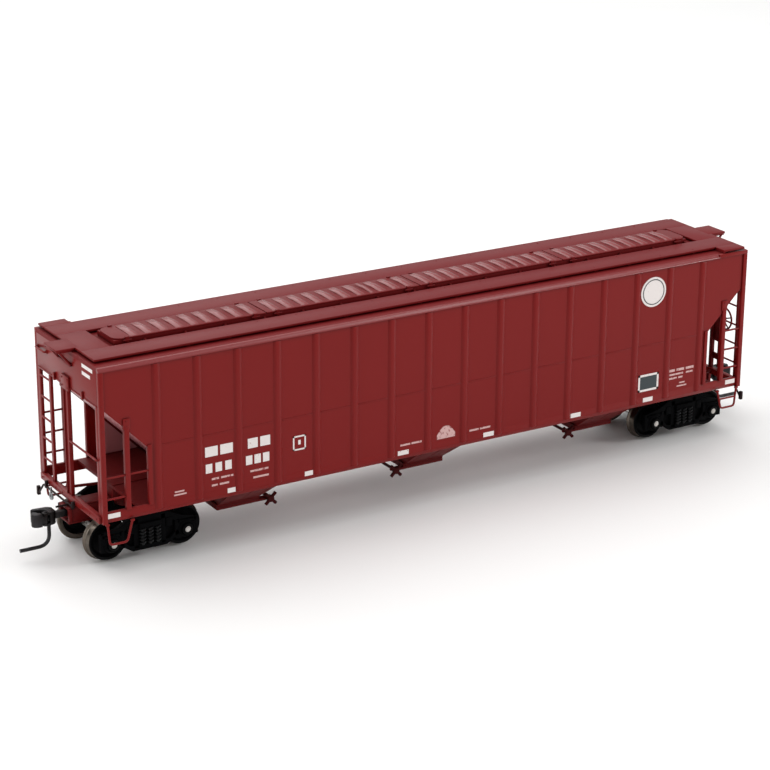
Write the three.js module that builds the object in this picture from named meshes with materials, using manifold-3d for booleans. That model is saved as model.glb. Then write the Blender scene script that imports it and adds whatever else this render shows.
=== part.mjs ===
// HO-scale model of a three-bay covered hopper car, in millimetres, +Z up.
// X runs along the car, from the A end (-X) to the B end (+X, where the hand brake is); Y runs across it.
// The origin is on the floor under the middle of the car. Each piece is one named mesh.

import * as THREE from "three";
import { mergeVertices } from "three/addons/utils/BufferGeometryUtils.js";
import Module from "manifold-3d";

// ---------------------------------------------------------------- driving dimensions

// body
const HALF_LENGTH = 98.3; // outer face of the end panels
const HALF_WIDTH = 18.65; // outer face of ribs and posts
const SHEET_Y = 18.2; // outer face of the side sheets
const SHEET_IN = 17.4; // inner face of the side sheets
const SILL_BOTTOM = 14.0;
const SILL_TOP = 16.9;
const SILL_KNEE = 15.1; // below it the side turns inwards
const SILL_TOE_Y = 17.7;
const SIDE_TOP = 52.9; // the roof panel rests here
const ROOF_TOP = 53.9;
const PANEL = 0.8; // thickness of end panel, floor and slope sheets
const GAP = 0.05; // play between neighbouring body pieces

// side ribs and the cut-out under the slope at each end of a side
const RIB_COUNT = 16;
const RIB_PITCH = 11.08;
const RIB_FACE = 1.1;
const RIB_ROOT = 3.6; // width of a rib inside the sheet, at RIB_ROOT_Y
const RIB_ROOT_Y = 17.8;
const POST_WIDTH = 1.3;
const EDGE_STRIP = 1.1;
const EDGE_STRIP_Y = 18.5;
const CUT_X = 85.8; // inner upright edge of the cut-out
const SLOPE_RISE = 54.0; // the 45 degree edge runs along z = x - SLOPE_RISE
const MID_POST_X = 91.3;
const RAIL_R = 0.3; // wire parts: rungs, grab irons, handrails
const RUNG_PITCH = 5.5;
const RUNG_LOW = 20.2;
const HANDRAIL_Z = 30.3; // the rail across the end from the centre post to the corner without a ladder

// end frames
const END_PANEL_BOTTOM = 43.9;
const END_SILL_TOP = 15.8;
const END_SILL_OUT = 98.9;
const CENTRE_POST = 2.8;
const CENTRE_POST_IN = 97.8; // its inner face; the outer one is END_SILL_OUT
const LADDER_INNER_Y = 9.9; // the ladder's one stile, off the centre line; the rungs end at the corner post
const LADDER_X = [97.9, 98.5];
const LADDER_RUNGS = 5;
const GRAB_Z = 49.5; // the grab iron on the end panel, over the ladder

// trough hatch and running board
const HATCH_HALF = 87.7;
const HATCH_JOINT = 45.5; // the joint between an inner and an outer cover; the inner two meet at x = 0
const HATCH_HALF_WIDTH = 5.0;
const HATCH_BASE = 55.2; // top of the coaming
const HATCH_RIB_PITCH = 4.15;
const HATCH_RIB_START = 3.2; // from a joint to the first corrugation beside it
const HATCH_RIB_HALF = 1.2;
const HATCH_BATTEN_X = 31.4; // the narrow corrugation of an inner cover, from its low end
const BOARD_TOP = 54.9;
const BOARD_THICK = 0.6;
const BOARD_HALF_LENGTH = 97.35;
const BOARD_HALF_WIDTH = 14.5;
const BOARD_INNER_X = 89.6;
const BOARD_INNER_Y = 7.0;
const STEP_OUT = 102.3; // tip of the extension over each end
const STEP_HALF = 3.7;
const CORNER_X = 90.2; // inner edge of the corner platform
const CORNER_Y = 18.3;

// hopper bays and outlet gates
const BAY_X = [-55.7, 0, 55.7];
const CRANK_SIDE = [1, -1, -1]; // the end of each gate that has the capstan
const BAY_HALF_TOP = 7.6;
const BAY_HALF_BOTTOM = 5.8;
const BAY_Y_TOP = 17.2;
const BAY_Y_BOTTOM = 7.0;
const BAY_BOTTOM = 7.1;
const BAY_WALL = 1.0;
const GATE_HALF_X = 6.2;
const GATE_HALF_Y = 7.4;
const GATE_THICK = 0.9;
const CAPSTAN_X = 9.0; // axis of the gate's operating shaft
const CAPSTAN_Y = 8.2;
const CAPSTAN_ARM = 4.2; // end to end
const CAPSTAN_BAR = 0.8;
const GATE_LUG_Y = 6.6;
const GATE_LUG_HALF = 0.35;
const FLOOR_BOTTOM = 16.1;
const FLOOR_HALF = 88.5;

// trucks and wheels
const TRUCK_X = 83.2;
const WHEELBASE = 20.2;
const FLANGE_R = 5.85;
const TREAD_R = 5.25;
const WHEEL_SIDES = 24;
const WHEEL_BACK = 7.2; // half the back-to-back distance
const WHEEL_FRONT = 10.0;
const AXLE_R = 0.95;
const CAP_R = 1.4;
const FRAME_IN = 11.2; // inner face of the side frames
const FRAME_OUT = 12.95;
const TRUCK_TOP = 10.5; // top of the truck's centre plate
const BOSS_BOTTOM = 10.6;
const AXLE_Z = FLANGE_R * Math.cos(Math.PI / WHEEL_SIDES); // the wheels rest on a flat of the flange

// couplers
const DRAFT_SILL_TOP = 13.6;
const DRAFT_SILL_HALF = 2.4;
const PIPE_Y = 6.3; // the brake pipe beside the draft sill
const PIPE_R = 0.4;
const PIPE_IN_Z = 14.0;
const PIPE_OUT_Z = 15.1;
const BOX_FRONT = 100.4;
const BOX_BACK = 91.6;
const BOX_HALF = 2.75;
const BOX_WALL = 0.6;
const BOX_BOTTOM = 8.9;
const BOX_TOP = 13.1;
const COUPLER_PIVOT_X = 93.9;
const COUPLER_Z = 11.2;
const HEAD_HALF = 1.7; // half the height of the coupler head
const KNUCKLE_X = 106.0;
const KNUCKLE_Y = 1.35;
const PIN_X = 104.6;
const PIN_R = 0.5;
const PIN_TIP_X = 112.5;

// brake gear
const BRAKE_WHEEL_X = 101.2;
const BRAKE_Y = -6.8;
const BRAKE_Z = 30.2;
const BRAKE_WHEEL_R = 3.1;
const BRAKE_PLATE_LOW = 24.0;
const BRAKE_PLATE_TOP = 36.0;
const BRAKE_BAR = [18.6, 20.4]; // the cross bar below the gear case
const BRAKE_CHAIN_OUT = 100.2;
const BRAKE_CHAIN_HALF = 1.2;
// the two posts that carry the brake gear, each from and to a distance off the centre line
const BRAKE_POSTS = [
  [4.7, 5.9],
  [8.0, 9.2],
];

// ---------------------------------------------------------------- materials

function paint(color, roughness, metalness = 0) {
  return new THREE.MeshStandardMaterial({ color, roughness, metalness });
}

const BODY_RED = paint(0x7a2626, 0.55);
const ROOF_RED = paint(0x8c4a4c, 0.6);
const UNDER_RED = paint(0x4a1416, 0.65);
const TRUCK_BLACK = paint(0x17181b, 0.6);
const COUPLER_BLACK = paint(0x222123, 0.45, 0.6);
const WHEEL_METAL = paint(0x6f675f, 0.35, 0.9);
const AXLE_METAL = paint(0xb9b6b0, 0.3, 0.9);
const STEEL = paint(0x8d8f92, 0.4, 0.9);

// ---------------------------------------------------------------- solid helpers

const wasm = await Module();
wasm.setup();

// A closed geometry as a manifold-3d solid.
function solid(geometry) {
  const bare = geometry.clone();
  bare.deleteAttribute("normal");
  bare.deleteAttribute("uv");
  const merged = mergeVertices(bare, 1e-4);
  return new wasm.Manifold(
    new wasm.Mesh({
      numProp: 3,
      vertProperties: merged.attributes.position.array,
      triVerts: new Uint32Array(merged.index.array),
    }),
  );
}

// A manifold-3d solid as a geometry with flat faces.
function geometryOf(made) {
  const mesh = made.getMesh();
  const geometry = new THREE.BufferGeometry();
  geometry.setAttribute("position", new THREE.BufferAttribute(mesh.vertProperties, 3));
  geometry.setIndex(new THREE.BufferAttribute(mesh.triVerts, 1));
  const flat = geometry.toNonIndexed();
  flat.computeVertexNormals();
  return flat;
}

function join(...solids) {
  return solids.reduce((whole, piece) => whole.add(piece));
}

function box(x0, x1, y0, y1, z0, z1) {
  const geometry = new THREE.BoxGeometry(x1 - x0, y1 - y0, z1 - z0);
  geometry.translate((x0 + x1) / 2, (y0 + y1) / 2, (z0 + z1) / 2);
  return solid(geometry);
}

function outline(points) {
  return new THREE.Shape(points.map(([u, v]) => new THREE.Vector2(u, v)));
}

// An outline drawn out from w = -overrun to w = depth + overrun, then turned and moved by place.
function drawn(points, depth, overrun, place) {
  const options = { depth: depth + 2 * overrun, bevelEnabled: false };
  const geometry = new THREE.ExtrudeGeometry(outline(points), options);
  geometry.translate(0, 0, -overrun);
  place(geometry);
  return solid(geometry);
}

// An outline with holes, drawn out to a depth.
function prism(points, holes, depth, place) {
  const whole = drawn(points, depth, 0, place);
  return holes.reduce((rest, hole) => rest.subtract(drawn(hole, depth, 1, place)), whole);
}

// An outline in the XZ plane, drawn out along Y from y0 to y1.
function alongY(points, y0, y1, holes = []) {
  return prism(points, holes, y1 - y0, (geometry) => {
    geometry.rotateX(Math.PI / 2);
    geometry.translate(0, y1, 0);
  });
}

// An outline in the YZ plane, drawn out along X from x0 to x1.
function alongX(points, x0, x1, holes = []) {
  const turn = new THREE.Matrix4().makeBasis(
    new THREE.Vector3(0, 1, 0),
    new THREE.Vector3(0, 0, 1),
    new THREE.Vector3(1, 0, 0),
  );
  return prism(points, holes, x1 - x0, (geometry) => {
    geometry.applyMatrix4(turn);
    geometry.translate(x0, 0, 0);
  });
}

// An outline in the XY plane, drawn up along Z from z0 to z1.
function alongZ(points, z0, z1, holes = []) {
  return prism(points, holes, z1 - z0, (geometry) => {
    geometry.translate(0, 0, z0);
  });
}

// A round bar between two points.
function rod(from, to, radius = RAIL_R, sides = 6) {
  const start = new THREE.Vector3(...from);
  const run = new THREE.Vector3(...to).sub(start);
  const geometry = new THREE.CylinderGeometry(radius, radius, run.length(), sides);
  geometry.translate(0, run.length() / 2, 0);
  const turn = new THREE.Quaternion().setFromUnitVectors(new THREE.Vector3(0, 1, 0), run.normalize());
  geometry.applyQuaternion(turn);
  geometry.translate(...from);
  return solid(geometry);
}

// A wire bent along a path: straight runs joined by round corners of the given radius.
function wire(points, radius, bend, sides = 6) {
  const path = new THREE.CurvePath();
  const stops = points.map((point) => new THREE.Vector3(...point));
  let start = stops[0];
  for (let i = 1; i < stops.length - 1; i += 1) {
    const toward = stops[i - 1].clone().sub(stops[i]).setLength(bend).add(stops[i]);
    const away = stops[i + 1].clone().sub(stops[i]).setLength(bend).add(stops[i]);
    path.add(new THREE.LineCurve3(start, toward));
    path.add(new THREE.QuadraticBezierCurve3(toward, stops[i], away));
    start = away;
  }
  path.add(new THREE.LineCurve3(start, stops[stops.length - 1]));
  const ring = [];
  for (let i = 0; i < sides; i += 1) {
    const angle = (2 * Math.PI * i) / sides;
    ring.push([radius * Math.cos(angle), radius * Math.sin(angle)]);
  }
  const steps = 5 * (points.length - 1);
  const options = { steps, extrudePath: path, bevelEnabled: false };
  return solid(new THREE.ExtrudeGeometry(outline(ring), options));
}

// A solid of revolution about the Y axis, from [radius, y] pairs.
function turnedY(profile, sides) {
  const points = profile.map(([radius, y]) => new THREE.Vector2(radius, y));
  return new THREE.LatheGeometry(points, sides);
}

function mesh(name, shape, material) {
  const geometry = shape.isBufferGeometry ? shape : geometryOf(shape);
  const made = new THREE.Mesh(geometry, material);
  made.name = name;
  return made;
}

// ---------------------------------------------------------------- body

const slopeZ = (x) => x - SLOPE_RISE;

// One side of the car: sheet, ribs, sill, posts, and the wire rungs and grab irons between the posts.
// It stands at -Y; the other side is the same piece turned half round. The ladder is at its +X end.
function sidePanel() {
  const postIn = HALF_LENGTH - POST_WIDTH;
  const cutOut = [
    [CUT_X, SILL_TOP],
    [postIn, SILL_TOP],
    [postIn, slopeZ(postIn)],
    [CUT_X, slopeZ(CUT_X)],
  ];
  const mirrored = cutOut.map(([x, z]) => [-x, z]).reverse();
  const sheet = [
    [-HALF_LENGTH, SILL_KNEE],
    [HALF_LENGTH, SILL_KNEE],
    [HALF_LENGTH, SIDE_TOP],
    [-HALF_LENGTH, SIDE_TOP],
  ];
  const pieces = [alongY(sheet, -SHEET_Y, -SHEET_IN, [cutOut, mirrored])];
  for (let i = 0; i < RIB_COUNT; i += 1) {
    const x = (i - (RIB_COUNT - 1) / 2) * RIB_PITCH;
    const rib = [
      [x - RIB_ROOT / 2, -RIB_ROOT_Y],
      [x - RIB_FACE / 2, -HALF_WIDTH],
      [x + RIB_FACE / 2, -HALF_WIDTH],
      [x + RIB_ROOT / 2, -RIB_ROOT_Y],
    ];
    pieces.push(alongZ(rib, SILL_KNEE, SIDE_TOP));
  }
  const sill = [
    [-SHEET_IN, SILL_BOTTOM],
    [-SHEET_IN, SILL_TOP],
    [-SHEET_Y, SILL_TOP],
    [-SHEET_Y, SILL_KNEE],
    [-SILL_TOE_Y, SILL_BOTTOM],
  ];
  pieces.push(alongX(sill, -HALF_LENGTH, HALF_LENGTH));
  for (const end of [-1, 1]) {
    const post = [end * postIn, end * HALF_LENGTH].sort((a, b) => a - b);
    pieces.push(box(...post, -HALF_WIDTH, -SHEET_IN, SILL_BOTTOM, SIDE_TOP));
    const middle = end * MID_POST_X;
    const half = POST_WIDTH / 2;
    pieces.push(box(middle - half, middle + half, -HALF_WIDTH, -SHEET_IN, SILL_TOP, slopeZ(MID_POST_X) + 1));
    const edge = [end * (CUT_X - EDGE_STRIP), end * CUT_X].sort((a, b) => a - b);
    pieces.push(box(...edge, -EDGE_STRIP_Y, -SHEET_IN, SILL_TOP, slopeZ(CUT_X)));
  }
  const wireY = -(SHEET_Y + SHEET_IN) / 2 - RAIL_R;
  for (let i = 0; i < 3; i += 1) {
    const z = RUNG_LOW + i * RUNG_PITCH;
    pieces.push(rod([MID_POST_X, wireY, z], [postIn + RAIL_R, wireY, z]));
  }
  pieces.push(rod([-MID_POST_X, wireY, RUNG_LOW], [-postIn - RAIL_R, wireY, RUNG_LOW]));
  const upper = RUNG_LOW + RUNG_PITCH;
  pieces.push(rod([-CUT_X + RAIL_R, wireY, upper], [-postIn - RAIL_R, wireY, upper]));
  return join(...pieces);
}

// The frame across one end, drawn at +X: panel, corner posts, centre post, gusset, end sill, handrails.
function endFrame() {
  const side = SHEET_IN - GAP;
  const inner = HALF_LENGTH - PANEL;
  const post = POST_WIDTH;
  const pieces = [
    box(inner, HALF_LENGTH, -side, side, END_PANEL_BOTTOM, SIDE_TOP),
    box(inner, HALF_LENGTH, -side, -side + post, SILL_BOTTOM, SIDE_TOP),
    box(inner, HALF_LENGTH, side - post, side, SILL_BOTTOM, SIDE_TOP),
    box(CENTRE_POST_IN, END_SILL_OUT, -CENTRE_POST / 2, CENTRE_POST / 2, SILL_BOTTOM, END_PANEL_BOTTOM),
    box(inner, END_SILL_OUT, -side, side, SILL_BOTTOM, END_SILL_TOP),
    box(HALF_LENGTH - 0.1, END_SILL_OUT, -2.1, 2.1, END_PANEL_BOTTOM - 0.6, END_PANEL_BOTTOM + 3.4),
  ];
  const railX = HALF_LENGTH + 0.7;
  pieces.push(
    wire(
      [
        [END_SILL_OUT - 0.3, CENTRE_POST / 2 - 0.4, HANDRAIL_Z],
        [END_SILL_OUT - 0.3, side - post / 2, HANDRAIL_Z],
        [inner + 0.2, side - post / 2, HANDRAIL_Z],
      ],
      RAIL_R,
      0.5,
    ),
  );
  const grabOut = -side + 0.6;
  const grabIn = -LADDER_INNER_Y - 1.5;
  pieces.push(
    wire(
      [
        [inner + 0.2, grabIn, GRAB_Z],
        [railX, grabIn, GRAB_Z],
        [railX, grabOut, GRAB_Z],
        [inner + 0.2, grabOut, GRAB_Z],
      ],
      RAIL_R,
      0.5,
    ),
  );
  return join(...pieces);
}

// The ladder on the outside of an end frame, drawn at +X and -Y.
function endLadder() {
  const [back, front] = LADDER_X;
  const half = 0.6;
  const stileTop = END_PANEL_BOTTOM - GAP;
  const stile = box(back, front, -LADDER_INNER_Y - half, -LADDER_INNER_Y + half, END_SILL_TOP, stileTop);
  const x = (back + front) / 2;
  const corner = -(SHEET_IN - GAP - POST_WIDTH - GAP);
  const pieces = [stile];
  for (let i = 0; i < LADDER_RUNGS; i += 1) {
    const z = RUNG_LOW + i * RUNG_PITCH;
    pieces.push(rod([x, corner, z], [x, -LADDER_INNER_Y, z], 0.27));
  }
  return join(...pieces);
}

// The roof sheet with its rounded eaves, the trough opening and the upstand round it.
function roofPanel() {
  const eave = [
    [HALF_WIDTH, SIDE_TOP],
    [HALF_WIDTH, SIDE_TOP + 0.35],
    [HALF_WIDTH - 0.35, ROOF_TOP - 0.25],
    [HALF_WIDTH - 1.1, ROOF_TOP],
  ];
  const far = eave.map(([y, z]) => [-y, z]).reverse();
  const sheet = alongX([...eave, ...far], -HALF_LENGTH, HALF_LENGTH);
  const wall = 0.7;
  const outer = HATCH_HALF_WIDTH - 0.2;
  const end = HATCH_HALF - 0.2;
  const upstand = box(-end, end, -outer, outer, ROOF_TOP - 0.1, HATCH_BASE);
  const trough = box(-end + wall, end - wall, -outer + wall, outer - wall, SIDE_TOP - 1, HATCH_BASE + 1);
  return join(sheet, upstand).subtract(trough);
}

// One trough hatch cover, from x = 0 to its length: a tray with gabled corrugations across it.
function hatchCover(length, ribs, battens) {
  const plateTop = HATCH_BASE + 0.45;
  const pieces = [box(0.15, length - 0.15, -HATCH_HALF_WIDTH, HATCH_HALF_WIDTH, HATCH_BASE, plateTop)];
  const half = HATCH_HALF_WIDTH - 0.4;
  const gable = [
    [-half, plateTop - 0.1],
    [half, plateTop - 0.1],
    [half - 0.9, plateTop + 0.45],
    [0, plateTop + 0.7],
    [-half + 0.9, plateTop + 0.45],
  ];
  for (const x of ribs) pieces.push(alongX(gable, x - HATCH_RIB_HALF, x + HATCH_RIB_HALF));
  for (const x of battens) pieces.push(alongX(gable, x - HATCH_RIB_HALF / 2, x + HATCH_RIB_HALF / 2));
  return join(...pieces);
}

const ribRow = (start, count) => Array.from({ length: count }, (_, i) => start + i * HATCH_RIB_PITCH);

// A cover at an end of the hatch, drawn from its joint at x = 0 outwards.
function outerCover() {
  return hatchCover(HATCH_HALF - HATCH_JOINT, ribRow(HATCH_RIB_START, 9), []);
}

// A cover in the middle of the hatch: seven corrugations, a batten and three more.
function innerCover() {
  const ribs = [...ribRow(HATCH_RIB_START, 7), ...ribRow(HATCH_BATTEN_X + HATCH_RIB_START - 0.1, 3)];
  return hatchCover(HATCH_JOINT, ribs, [HATCH_BATTEN_X]);
}

// The running board: a ring round the hatch, a braced extension over each end and two corner platforms.
function runningBoard() {
  const under = BOARD_TOP - BOARD_THICK;
  const ring = [
    [-BOARD_HALF_LENGTH, -BOARD_HALF_WIDTH],
    [BOARD_HALF_LENGTH, -BOARD_HALF_WIDTH],
    [BOARD_HALF_LENGTH, BOARD_HALF_WIDTH],
    [-BOARD_HALF_LENGTH, BOARD_HALF_WIDTH],
  ];
  const hole = [
    [-BOARD_INNER_X, -BOARD_INNER_Y],
    [-BOARD_INNER_X, BOARD_INNER_Y],
    [BOARD_INNER_X, BOARD_INNER_Y],
    [BOARD_INNER_X, -BOARD_INNER_Y],
  ];
  const pieces = [alongZ(ring, under, BOARD_TOP, [hole])];
  for (const side of [-1, 1]) {
    const out = [side * (BOARD_HALF_LENGTH - 1), side * STEP_OUT].sort((a, b) => a - b);
    pieces.push(box(...out, -STEP_HALF, STEP_HALF, under, BOARD_TOP));
    const across = [-side * (BOARD_HALF_WIDTH - 1), -side * CORNER_Y].sort((a, b) => a - b);
    const along = [side * CORNER_X, side * BOARD_HALF_LENGTH].sort((a, b) => a - b);
    pieces.push(box(...along, ...across, under, BOARD_TOP));
    for (const y of [-STEP_HALF + 0.4, STEP_HALF - 0.4]) {
      const foot = [side * (STEP_OUT - 0.6), y, under + 0.2];
      pieces.push(rod(foot, [side * (HALF_LENGTH + 0.4), y, 50.6], 0.35));
    }
    const bar = [side * (HALF_LENGTH + GAP), side * (END_SILL_OUT + GAP)].sort((a, b) => a - b);
    pieces.push(box(...bar, -STEP_HALF, STEP_HALF, 50.2, 50.9));
    for (let i = 0; i < RIB_COUNT; i += 1) {
      const x = (i - (RIB_COUNT - 1) / 2) * RIB_PITCH;
      const rest = [side * (BOARD_INNER_Y + 0.4), side * (BOARD_HALF_WIDTH - 0.4)].sort((a, b) => a - b);
      pieces.push(box(x - 0.5, x + 0.5, ...rest, ROOF_TOP, under + 0.1));
    }
  }
  return join(...pieces);
}

// The end sheet of the load space, drawn at +X, sloping at 45 degrees from the end panel to the floor.
function slopeSheet() {
  const lift = 0.2;
  const thick = PANEL * Math.SQRT2;
  const top = HALF_LENGTH - PANEL - GAP;
  const foot = SLOPE_RISE + SILL_TOP - lift;
  const profile = [
    [foot, SILL_TOP],
    [top, slopeZ(top) + lift],
    [top, slopeZ(top) + lift + thick],
    [foot - thick, SILL_TOP],
  ];
  return alongY(profile, -SHEET_IN + GAP, SHEET_IN - GAP);
}

// A four-sided funnel section: a rectangle at z1 narrowing to a rectangle at z0.
function funnel(halfX0, halfY0, z0, halfX1, halfY1, z1) {
  const geometry = new THREE.BoxGeometry(2, 2, 2);
  const place = geometry.attributes.position;
  for (let i = 0; i < place.count; i += 1) {
    const high = place.getZ(i) > 0;
    const x = place.getX(i) * (high ? halfX1 : halfX0);
    const y = place.getY(i) * (high ? halfY1 : halfY0);
    place.setXYZ(i, x, y, high ? z1 : z0);
  }
  return solid(geometry);
}

// One hopper bay, drawn about x = 0: a hollow funnel with the sill's web down its middle.
function hopperBay() {
  const skirt = box(-BAY_HALF_TOP, BAY_HALF_TOP, -BAY_Y_TOP, BAY_Y_TOP, SILL_BOTTOM, FLOOR_BOTTOM);
  const slopes = funnel(BAY_HALF_BOTTOM, BAY_Y_BOTTOM, BAY_BOTTOM, BAY_HALF_TOP, BAY_Y_TOP, SILL_BOTTOM);
  const topX = BAY_HALF_TOP - BAY_WALL;
  const topY = BAY_Y_TOP - BAY_WALL;
  const lowX = BAY_HALF_BOTTOM - BAY_WALL;
  const lowY = BAY_Y_BOTTOM - BAY_WALL;
  const hollowTop = box(-topX, topX, -topY, topY, SILL_BOTTOM, FLOOR_BOTTOM + 1);
  const hollowLow = funnel(lowX, lowY, BAY_BOTTOM - 0.01, topX, topY, SILL_BOTTOM);
  const web = box(-topX - 1, topX + 1, -BAY_WALL, BAY_WALL, BAY_BOTTOM, FLOOR_BOTTOM);
  return join(skirt, slopes).subtract(join(hollowTop, hollowLow).subtract(web));
}

// An outlet gate under a bay, drawn about x = 0 with its capstan shaft at +X.
function outletGate() {
  const top = BAY_BOTTOM;
  const under = top - GATE_THICK;
  const shaftZ = top - GATE_THICK / 2;
  const pieces = [box(-GATE_HALF_X, GATE_HALF_X, -GATE_HALF_Y, GATE_HALF_Y, under, top)];
  for (const y of [-GATE_LUG_Y, GATE_LUG_Y]) {
    pieces.push(box(GATE_HALF_X - 0.2, CAPSTAN_X + 0.8, y - GATE_LUG_HALF, y + GATE_LUG_HALF, under, top));
  }
  pieces.push(rod([CAPSTAN_X, -CAPSTAN_Y - 0.4, shaftZ], [CAPSTAN_X, CAPSTAN_Y + 0.4, shaftZ], 0.4, 8));
  for (const y of [-CAPSTAN_Y, CAPSTAN_Y]) {
    for (const turn of [Math.PI / 4, -Math.PI / 4]) {
      const arm = new THREE.BoxGeometry(CAPSTAN_ARM, CAPSTAN_BAR, CAPSTAN_BAR);
      arm.rotateY(turn);
      arm.translate(CAPSTAN_X, y, shaftZ);
      pieces.push(solid(arm));
    }
  }
  return join(...pieces);
}

// ---------------------------------------------------------------- underframe and running gear

// The stub sill, body bolster, kingpin boss and coupler box of one end, drawn at +X.
function underframe() {
  const sillHalf = 3.2;
  const inner = BOX_HALF - BOX_WALL;
  const boss = new THREE.CylinderGeometry(3.2, 3.2, BOX_TOP - BOSS_BOTTOM, 20);
  boss.rotateX(Math.PI / 2);
  boss.translate(TRUCK_X, 0, (BOX_TOP + BOSS_BOTTOM) / 2);
  const bolster = [
    [-SHEET_IN + GAP, FLOOR_BOTTOM],
    [-SHEET_IN + GAP, SILL_BOTTOM + 0.6],
    [-5, BOX_TOP - 0.1],
    [5, BOX_TOP - 0.1],
    [SHEET_IN - GAP, SILL_BOTTOM + 0.6],
    [SHEET_IN - GAP, FLOOR_BOTTOM],
  ];
  const whole = join(
    box(70.5, FLOOR_HALF, -sillHalf, sillHalf, BOX_TOP - 0.1, FLOOR_BOTTOM),
    box(FLOOR_HALF - 1, HALF_LENGTH, -DRAFT_SILL_HALF, DRAFT_SILL_HALF, BOX_TOP - 0.1, DRAFT_SILL_TOP),
    rod([TRUCK_X, -PIPE_Y, PIPE_IN_Z], [HALF_LENGTH - PANEL - GAP, -PIPE_Y, PIPE_OUT_Z], PIPE_R),
    alongX(bolster, TRUCK_X - 2.2, TRUCK_X + 2.2),
    solid(boss),
    box(BOX_BACK, BOX_FRONT, -BOX_HALF, BOX_HALF, BOX_BOTTOM + BOX_WALL, BOX_TOP),
  );
  const mouthTop = BOX_TOP - BOX_WALL;
  const pocket = box(BOX_BACK + BOX_WALL, BOX_FRONT + 1, -inner, inner, BOX_BOTTOM, mouthTop);
  const postFoot = [COUPLER_PIVOT_X, 0, BOX_BOTTOM + BOX_WALL];
  const post = rod(postFoot, [COUPLER_PIVOT_X, 0, mouthTop + 0.1], 0.7, 12);
  const screwHole = rod([TRUCK_X, 0, BOSS_BOTTOM - 1], [TRUCK_X, 0, 14.6], 1.0, 16);
  return whole.subtract(pocket).add(post).subtract(screwHole);
}

// The lid under a coupler box, with a round screw head, drawn at +X.
function boxLid() {
  const plate = box(BOX_BACK, BOX_FRONT, -BOX_HALF, BOX_HALF, BOX_BOTTOM, BOX_BOTTOM + BOX_WALL);
  const head = rod([COUPLER_PIVOT_X, 0, BOX_BOTTOM - 0.5], [COUPLER_PIVOT_X, 0, BOX_BOTTOM + 0.1], 1.1, 12);
  return plate.add(head);
}

// The outline of a truck side frame's right half, from the top middle round to the bottom middle.
const FRAME_HALF_OUTLINE = [
  [4.4, 12.0],
  [8.6, 9.9],
  [12.2, 8.9],
  [13.4, 7.6],
  [13.4, 4.6],
  [12.4, 3.9],
  [8.4, 3.9],
  [7.2, 4.6],
  [4.6, 2.6],
];

// The opening between a side frame's column and its pedestal, right half.
const FRAME_WINDOW = [
  [5.3, 9.9],
  [5.3, 5.6],
  [7.4, 7.0],
  [8.0, 8.6],
];

function circle(cx, cy, radius, sides) {
  const points = [];
  for (let i = 0; i < sides; i += 1) {
    const angle = (2 * Math.PI * i) / sides;
    points.push([cx + radius * Math.cos(angle), cy + radius * Math.sin(angle)]);
  }
  return points;
}

function mirrorX(points) {
  return points.map(([x, z]) => [-x, z]).reverse();
}

// A truck frame about its own kingpin: two side frames joined by the bolster.
function truckFrame() {
  const contour = [...FRAME_HALF_OUTLINE, ...mirrorX(FRAME_HALF_OUTLINE)];
  const half = WHEELBASE / 2;
  const bearing = circle(half, AXLE_Z, 1.25, 12);
  const holes = [FRAME_WINDOW, mirrorX(FRAME_WINDOW), bearing, mirrorX(bearing)];
  const pieces = [
    alongY(contour, FRAME_IN, FRAME_OUT, holes),
    alongY(contour, -FRAME_OUT, -FRAME_IN, holes),
    box(-2.6, 2.6, -FRAME_IN - 0.5, FRAME_IN + 0.5, 6.6, 9.9),
    rod([0, 0, 9], [0, 0, TRUCK_TOP], 3.4, 20),
  ];
  for (const side of [-1, 1]) {
    for (const x of [-2.1, 0, 2.1]) {
      pieces.push(rod([x, side * FRAME_OUT, 4.2], [x, side * FRAME_OUT, 8.2], 0.85, 8));
    }
  }
  const screwHole = rod([0, 0, 5], [0, 0, 12], 1.15, 16);
  return join(...pieces).subtract(screwHole);
}

// The screw that holds a truck to its boss, about the kingpin axis.
function truckScrew() {
  return join(rod([0, 0, 6.4], [0, 0, 14.4], 0.9, 12), rod([0, 0, 5.5], [0, 0, 6.45], 2.0, 16));
}

// An axle along Y with its two bearing caps.
function axle() {
  const tip = 13.7;
  const shoulder = FRAME_OUT + 0.1;
  return turnedY(
    [
      [0, -tip],
      [CAP_R, -tip],
      [CAP_R, -shoulder],
      [AXLE_R, -shoulder],
      [AXLE_R, shoulder],
      [CAP_R, shoulder],
      [CAP_R, tip],
      [0, tip],
    ],
    12,
  );
}

// A wheel about the Y axis, its face towards +Y, turned so that it rests on a flat.
function wheel() {
  const bore = AXLE_R + GAP;
  const profile = [
    [bore, WHEEL_BACK],
    [5.6, WHEEL_BACK],
    [FLANGE_R, WHEEL_BACK + 0.35],
    [TREAD_R, WHEEL_BACK + 0.85],
    [TREAD_R - 0.05, WHEEL_FRONT],
    [4.5, WHEEL_FRONT],
    [4.25, WHEEL_FRONT - 1.0],
    [2.0, WHEEL_FRONT - 1.0],
    [1.9, WHEEL_FRONT - 0.2],
    [bore, WHEEL_FRONT - 0.2],
    [bore, WHEEL_BACK],
  ];
  const geometry = turnedY(profile, WHEEL_SIDES);
  geometry.rotateY(Math.PI / WHEEL_SIDES);
  return geometry;
}

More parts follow.
